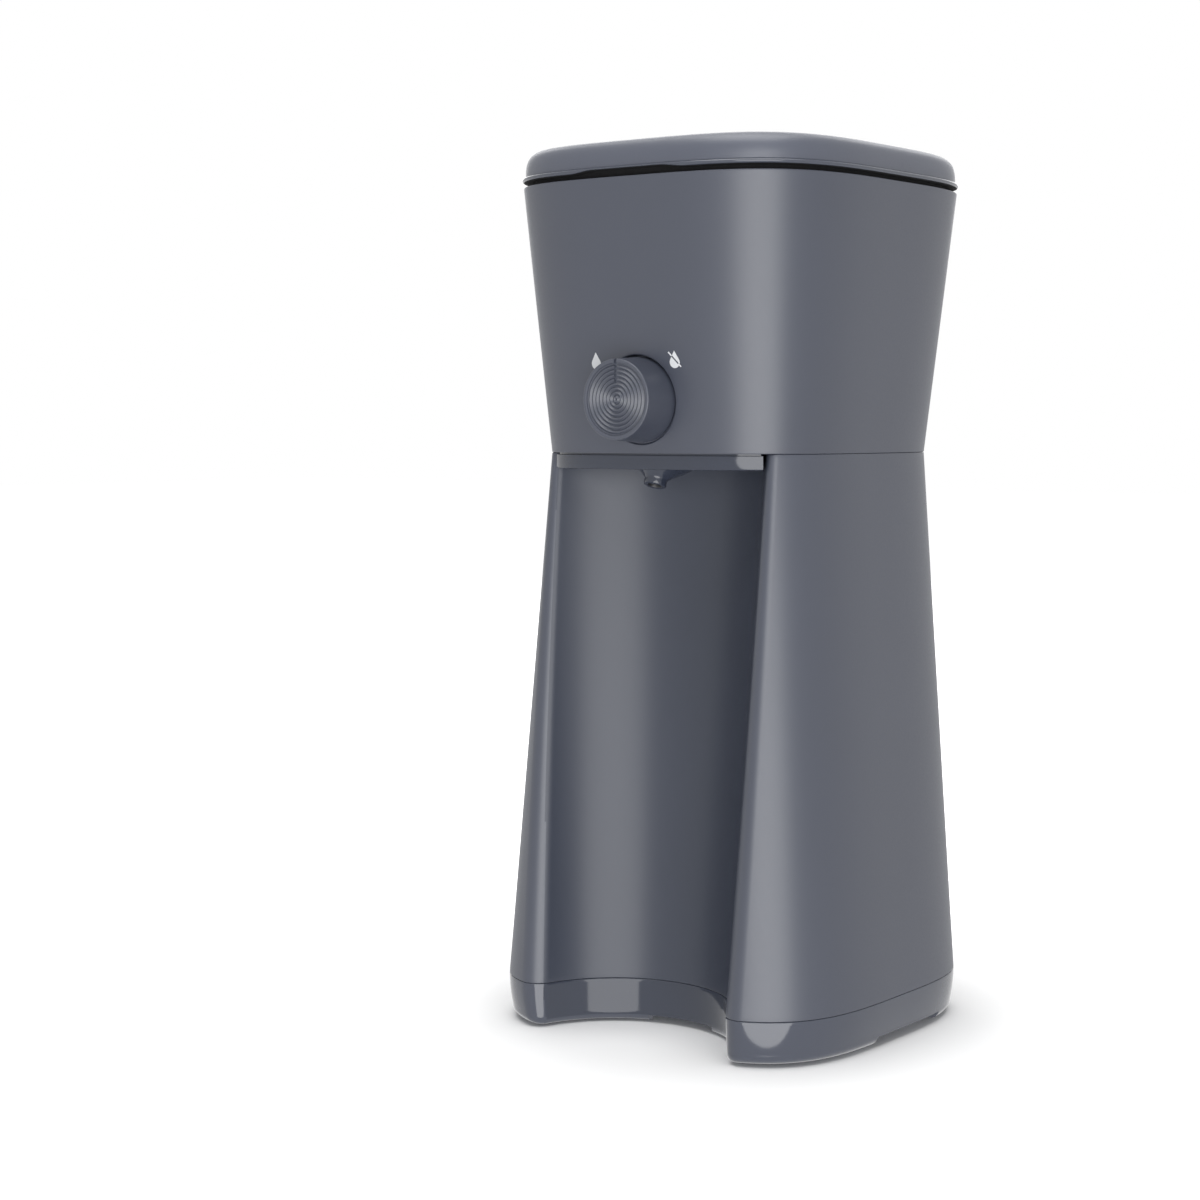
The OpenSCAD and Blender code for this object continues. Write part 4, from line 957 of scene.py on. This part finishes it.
plate_plan = head_plan(WAIST_Z, WALL + PLATE_ROOM)
slab = [(x, y) for x, y in (outline(plate_plan, phi) for phi in PHIS) if y < PLATE_BACK]
half = len(slab) // 2 + 1
slab_shell = Shell().prism([[(x, y, z) for x, y in slab[half:] + slab[:half]] for z in (WAIST_Z, PLATE_TOP)])
funnel = Shell().spin(rod(FUNNEL_R, PLATE_TOP - SINK, PLATE_TOP + FUNNEL_H), upright(0, VALVE_Y), 64)
stem_wall = Shell().block((-BEARING_HALF, BEARING_Y, PLATE_TOP - SINK),
                          (BEARING_HALF, BEARING_Y + BEARING_W, BEARING_TOP))
bore = Shell().spin([(NEAR_AXIS, FASCIA_Z - 1), (FUNNEL_NECK[0], FASCIA_Z - 1), FUNNEL_NECK, FUNNEL_MOUTH,
                     (NEAR_AXIS, FUNNEL_MOUTH[1])], upright(0, VALVE_Y), 48)
pocket_back = POCKET_Y + POCKET_FLOOR
knob_room = Shell().spin(rod(POCKET_R + POCKET_WALL + PLATE_ROOM, POCKET_Y - 9, pocket_back + PLATE_ROOM),
                         along_y, 96)
stem_hole = Shell().spin(rod(STEM_R, BEARING_Y - 1, BEARING_Y + BEARING_W + 1), along_y, 48)
screw_holes = [Shell().spin(rod(r, WAIST_Z - 1, PLATE_TOP + 1), upright(sign * x, y), 32)
               for x, y, r in SCREW_HOLES for sign in (1, -1)]
piece_from("drip_plate_moulding", slab_shell, gloss_dark, "body", ["drip_plate"],
           [fascia_shell, funnel, stem_wall], [bore, knob_room, stem_hole] + screw_holes)

# %% [markdown]
# ## The spout
# The spout is a short nozzle that flares into the plate and leans forward, so that what drips from it falls
# into the bay. It is a turned form, so a profile is spun round its leaning axis and cut off flat at the
# plate. Its bore is drawn black, because hardly any light comes back out of it.

# %% Spout
TILT, SPOUT_Y = math.radians(20), -47.8
BORE_R, BORE_EDGE = 2.25, 2.6
CUT = 20.0


def from_spout(x, y, h):
    """Down the spout's own axis, which leans forward, from the plate's underside."""
    c, s = math.cos(TILT), math.sin(TILT)
    return x, SPOUT_Y + y * c + h * s, FASCIA_Z - y * s + h * c


flare = smooth([(12.0, 2.6), (9.6, 0.6), (7.6, -0.8), (5.9, -2.0), (4.7, -3.0), (4.1, -3.7), (3.95, -4.4)], 4)
mouth = [(4.0, -5.6), (3.85, -6.0), (3.5, -6.15), (2.8, -6.15), (2.45, -6.0)]
bore_wall = [(BORE_R, -5.6), (BORE_R, -2.4), (5.5, 0.4), (5.5, 2.6)]
spout_shell = Shell().spin(flare + mouth + bore_wall, from_spout, 72)
above_plate = Shell().block((-CUT, SPOUT_Y - CUT, FASCIA_Z), (CUT, SPOUT_Y + CUT, FASCIA_Z + CUT))
spout = piece_from("spout_nozzle", spout_shell, gloss_dark, "body", ["spout"],
                   cutters=[above_plate])
spout.data.materials.append(black_nylon)
axis_at = Vector(from_spout(0, 0, 0))
axis = (Vector(from_spout(0, 0, 1)) - axis_at).normalized()
for face in spout.data.polygons:
    from_axis = face.center / MM - Vector((0, SHIFT_Y, 0)) - axis_at
    face.material_index = int((from_axis - axis * from_axis.dot(axis)).length < BORE_EDGE)

# %% [markdown]
# ## The valve's spring
# A coil of spring steel pushes the drip valve shut. It is one wire, so a small ring of points is swept along
# a helix and set square to it at each step. Its upper end stays under the valve's cage while its lower end
# moves with the valve, so no body can carry it alone: it rides with the machine.

# %% Valve spring
WIRE_R, COIL_R, COIL_TURNS, WIRE_SIDES, COIL_STEPS = 0.45, 2.9, 4.5, 12, 180
spring_low, spring_high = (corner[2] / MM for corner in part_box("valve_spring"))
slope = math.atan2((spring_high - spring_low - 2 * WIRE_R) / COIL_TURNS, 2 * math.pi * COIL_R)


def wire_ring(t):
    """The wire's round section at a share of its length."""
    a = 2 * math.pi * COIL_TURNS * t
    out = Vector((math.cos(a), math.sin(a), 0.0))
    up = Vector((math.sin(slope) * math.sin(a), -math.sin(slope) * math.cos(a), math.cos(slope)))
    middle = Vector((0.0, VALVE_Y, mix(spring_low + WIRE_R, spring_high - WIRE_R, t))) + out * COIL_R
    turns = [2 * math.pi * k / WIRE_SIDES for k in range(WIRE_SIDES)]
    return [tuple(middle + (out * math.cos(b) + up * math.sin(b)) * WIRE_R) for b in turns]


coil = Shell().prism([wire_ring(i / COIL_STEPS) for i in range(COIL_STEPS + 1)])
spring = piece_from("valve_spring_coil", coil, zinc_plate, "body", ["valve_spring"], sharp=50)
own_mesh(spring)

# %% [markdown]
# ## The printed signs
# Two pale signs are printed above the knob: a drop for the open valve, and a drop struck through for the shut
# one. They are pad-printed ink, so each is a film a few hundredths of a millimetre thick that follows the
# head's curved front. The stroke is bare plastic inside the drop and ink outside it.

# %% Sign shapes
DROP_W, DROP_H, BAR_W, BAR_ANGLE = 4.0, 5.9, 0.5, math.radians(-46)
DROP_STEPS = 28
FILM = 0.05


def drop_outline(cx, cz):
    """A drop: a point on top, round below."""
    radius = DROP_W / 2
    touch = math.asin(radius / (DROP_H - radius))
    low = cz - DROP_H / 2 + radius
    arc = spaced(touch, -math.pi - touch, DROP_STEPS)
    return circle(cx, low, radius, arc) + [(cx, cz + DROP_H / 2)]


def stroke(cx, cz, start, end):
    """A strip that falls from upper left to lower right, between two distances from the middle."""
    c, s = math.cos(BAR_ANGLE), math.sin(BAR_ANGLE)
    corners = ((start, -BAR_W / 2), (end, -BAR_W / 2), (end, BAR_W / 2), (start, BAR_W / 2))
    return [(cx + u * c - v * s, cz + u * s + v * c) for u, v in corners]


def add_film(shell, points):
    shell.prism([[(x, head_y(x, z, 0) - lift, z) for x, z in points] for lift in (-FILM, FILM)])


print("points in a drop:", len(drop_outline(0, 0)))

# %% Signs
# Pad-printing ink: pale and matt, with an even edge
ink = plastic("pad_print_ink", "#D9DBDE", 0.55, 0.5, 0.004, drift=0.03)
OPEN_X, SHUT_X, SIGN_Z = -17.3, 16.0, 238.0
BAR_ENDS = ((-3.5, -1.7), (2.1, 3.5))
SLIT_REACH, SLIT_Y = 6.0, (-80, -40)
open_sign, shut_sign, shut_bar = Shell(), Shell(), Shell()
add_film(open_sign, drop_outline(OPEN_X, SIGN_Z))
add_film(shut_sign, drop_outline(SHUT_X, SIGN_Z))
for start, end in BAR_ENDS:
    add_film(shut_bar, stroke(SHUT_X, SIGN_Z, start, end))
strip = stroke(SHUT_X, SIGN_Z, -SLIT_REACH, SLIT_REACH)
slit = Shell().prism([[(x, y, z) for x, z in strip] for y in SLIT_Y])
piece_from("sign_open", open_sign, ink, "body", sharp=60)
piece_from("sign_shut", shut_sign, ink, "body", cutters=[slit], sharp=60)
piece_from("sign_shut_bar", shut_bar, ink, "body", sharp=60)

# %% [markdown]
# ## Floor and light
# The machine stands on a pale floor before one broad oval soft box to the right of the front, which makes
# the bright strips on the corners. The box reaches below the floor, so the floor lets its light pass and
# isn't seen in reflections, and the strips run down to the foot. Weaker soft lights from above and from
# behind keep the other sides readable. The surround is white to the camera and in reflections, and the floor
# is as white to the camera, except where the machine shades it and near the machine, where its glow holds
# painted shade.

# %% Floor
scene = bpy.context.scene
scene.view_settings.view_transform = "Standard"
# In metres
FLOOR_HALF, FLOOR_DOWN = 6.0, 0.0002


def seen_rays(tree):
    """One for rays from the camera, a reflection or glass, and zero for the rays that light a surface."""
    rays = add(tree, "ShaderNodeLightPath").outputs
    seen = rays["Is Camera Ray"]
    for kind in ("Is Glossy Ray", "Is Transmission Ray"):
        seen = reckon(tree, "MAXIMUM", seen, rays[kind])
    return seen


floor_mesh = bpy.data.meshes.new("floor")
corners = [(x * FLOOR_HALF, y * FLOOR_HALF, -FLOOR_DOWN) for x, y in ((-1, -1), (1, -1), (1, 1), (-1, 1))]
floor_mesh.from_pydata(corners, [], [(0, 1, 2, 3)])
floor = bpy.data.objects.new("floor", floor_mesh)
scene.collection.objects.link(floor)
floor.visible_glossy = False
floor.visible_shadow = False
print("floor, m:", 2 * FLOOR_HALF)

# %% Paper for the floor
# Matt paper: white where light falls on it and grey in the machine's shadow; its glow to the camera is dimmed
# near the machine and under it as painted shade, and far away it is as bright as the surround
paper_matt, tree, place = new_finish("paper_matt")
# The distances in metres between which the floor's glow brightens, and its brightness at the nearer one,
# which paints shade near the machine
NEAR, FAR, NEAR_GLOW = 0.07, 0.24, 0.34
SHADE_REACH = 0.03
away = add(tree, "ShaderNodeVectorMath", {0: place}, operation="LENGTH").outputs["Value"]
level = add(tree, "ShaderNodeMapRange", {
    "Value": away, "From Min": NEAR, "From Max": FAR, "To Min": NEAR_GLOW, "To Max": 1.0},
    interpolation_type="SMOOTHSTEP").outputs["Result"]
# Ambient occlusion dims the glow where the machine crowds the floor: a painted contact shadow
shade = add(tree, "ShaderNodeAmbientOcclusion", {"Distance": SHADE_REACH}, samples=8).outputs["AO"]
glow_with_painted_shade = reckon(tree, "MULTIPLY", seen_rays(tree), reckon(tree, "MULTIPLY", level, shade))
paper = add(tree, "ShaderNodeBsdfDiffuse", {"Color": linear("#E8E8E8")}).outputs[0]
light = add(tree, "ShaderNodeEmission", {"Color": linear("#FFFFFF"), "Strength": glow_with_painted_shade}).outputs[0]
both = add(tree, "ShaderNodeAddShader", {0: paper, 1: light}).outputs[0]
add(tree, "ShaderNodeOutputMaterial", {"Surface": both})
floor_mesh.materials.append(paper_matt)

# %% Surround and lamps
FILL = 0.03
world = bpy.data.worlds.new("studio")
scene.world = world
world.use_nodes = True
world.cycles.sampling_method = "NONE"
tree = world.node_tree
tree.nodes.clear()
strength = add(tree, "ShaderNodeMapRange", {"Value": seen_rays(tree), "To Min": FILL, "To Max": 1.0})
air = add(tree, "ShaderNodeBackground", {"Color": linear("#FFFFFF"), "Strength": strength.outputs["Result"]})
add(tree, "ShaderNodeOutputWorld", {"Surface": air.outputs[0]})

# Name, shape, azimuth and elevation in degrees, distance, width and height in metres, power in watts
LAMPS = (
    ("softbox", "ELLIPSE", 38, -8, 1.9, 2.1, 1.85, 38),
    ("overhead", "RECTANGLE", 20, 80, 1.8, 1.8, 1.8, 34),
    ("rear_fill", "RECTANGLE", 215, 30, 2.2, 2.4, 2.0, 24),
)
AIM = (0.0, 0.0, 150.0)
for name, shape, azimuth, elevation, distance, width, height, watts in LAMPS:
    data = bpy.data.lights.new(name, "AREA")
    data.shape, data.size, data.size_y, data.energy = shape, width, height, watts
    lamp = bpy.data.objects.new(name, data)
    a, e = math.radians(azimuth), math.radians(elevation)
    out = Vector((math.sin(a) * math.cos(e), -math.cos(a) * math.cos(e), math.sin(e)))
    lamp.location = Vector(AIM) * MM + out * distance
    lamp.rotation_euler = (-out).to_track_quat("-Z", "Y").to_euler()
    lamp.visible_camera = False
    scene.collection.objects.link(lamp)
print("lamps:", [name for name, *_ in LAMPS])
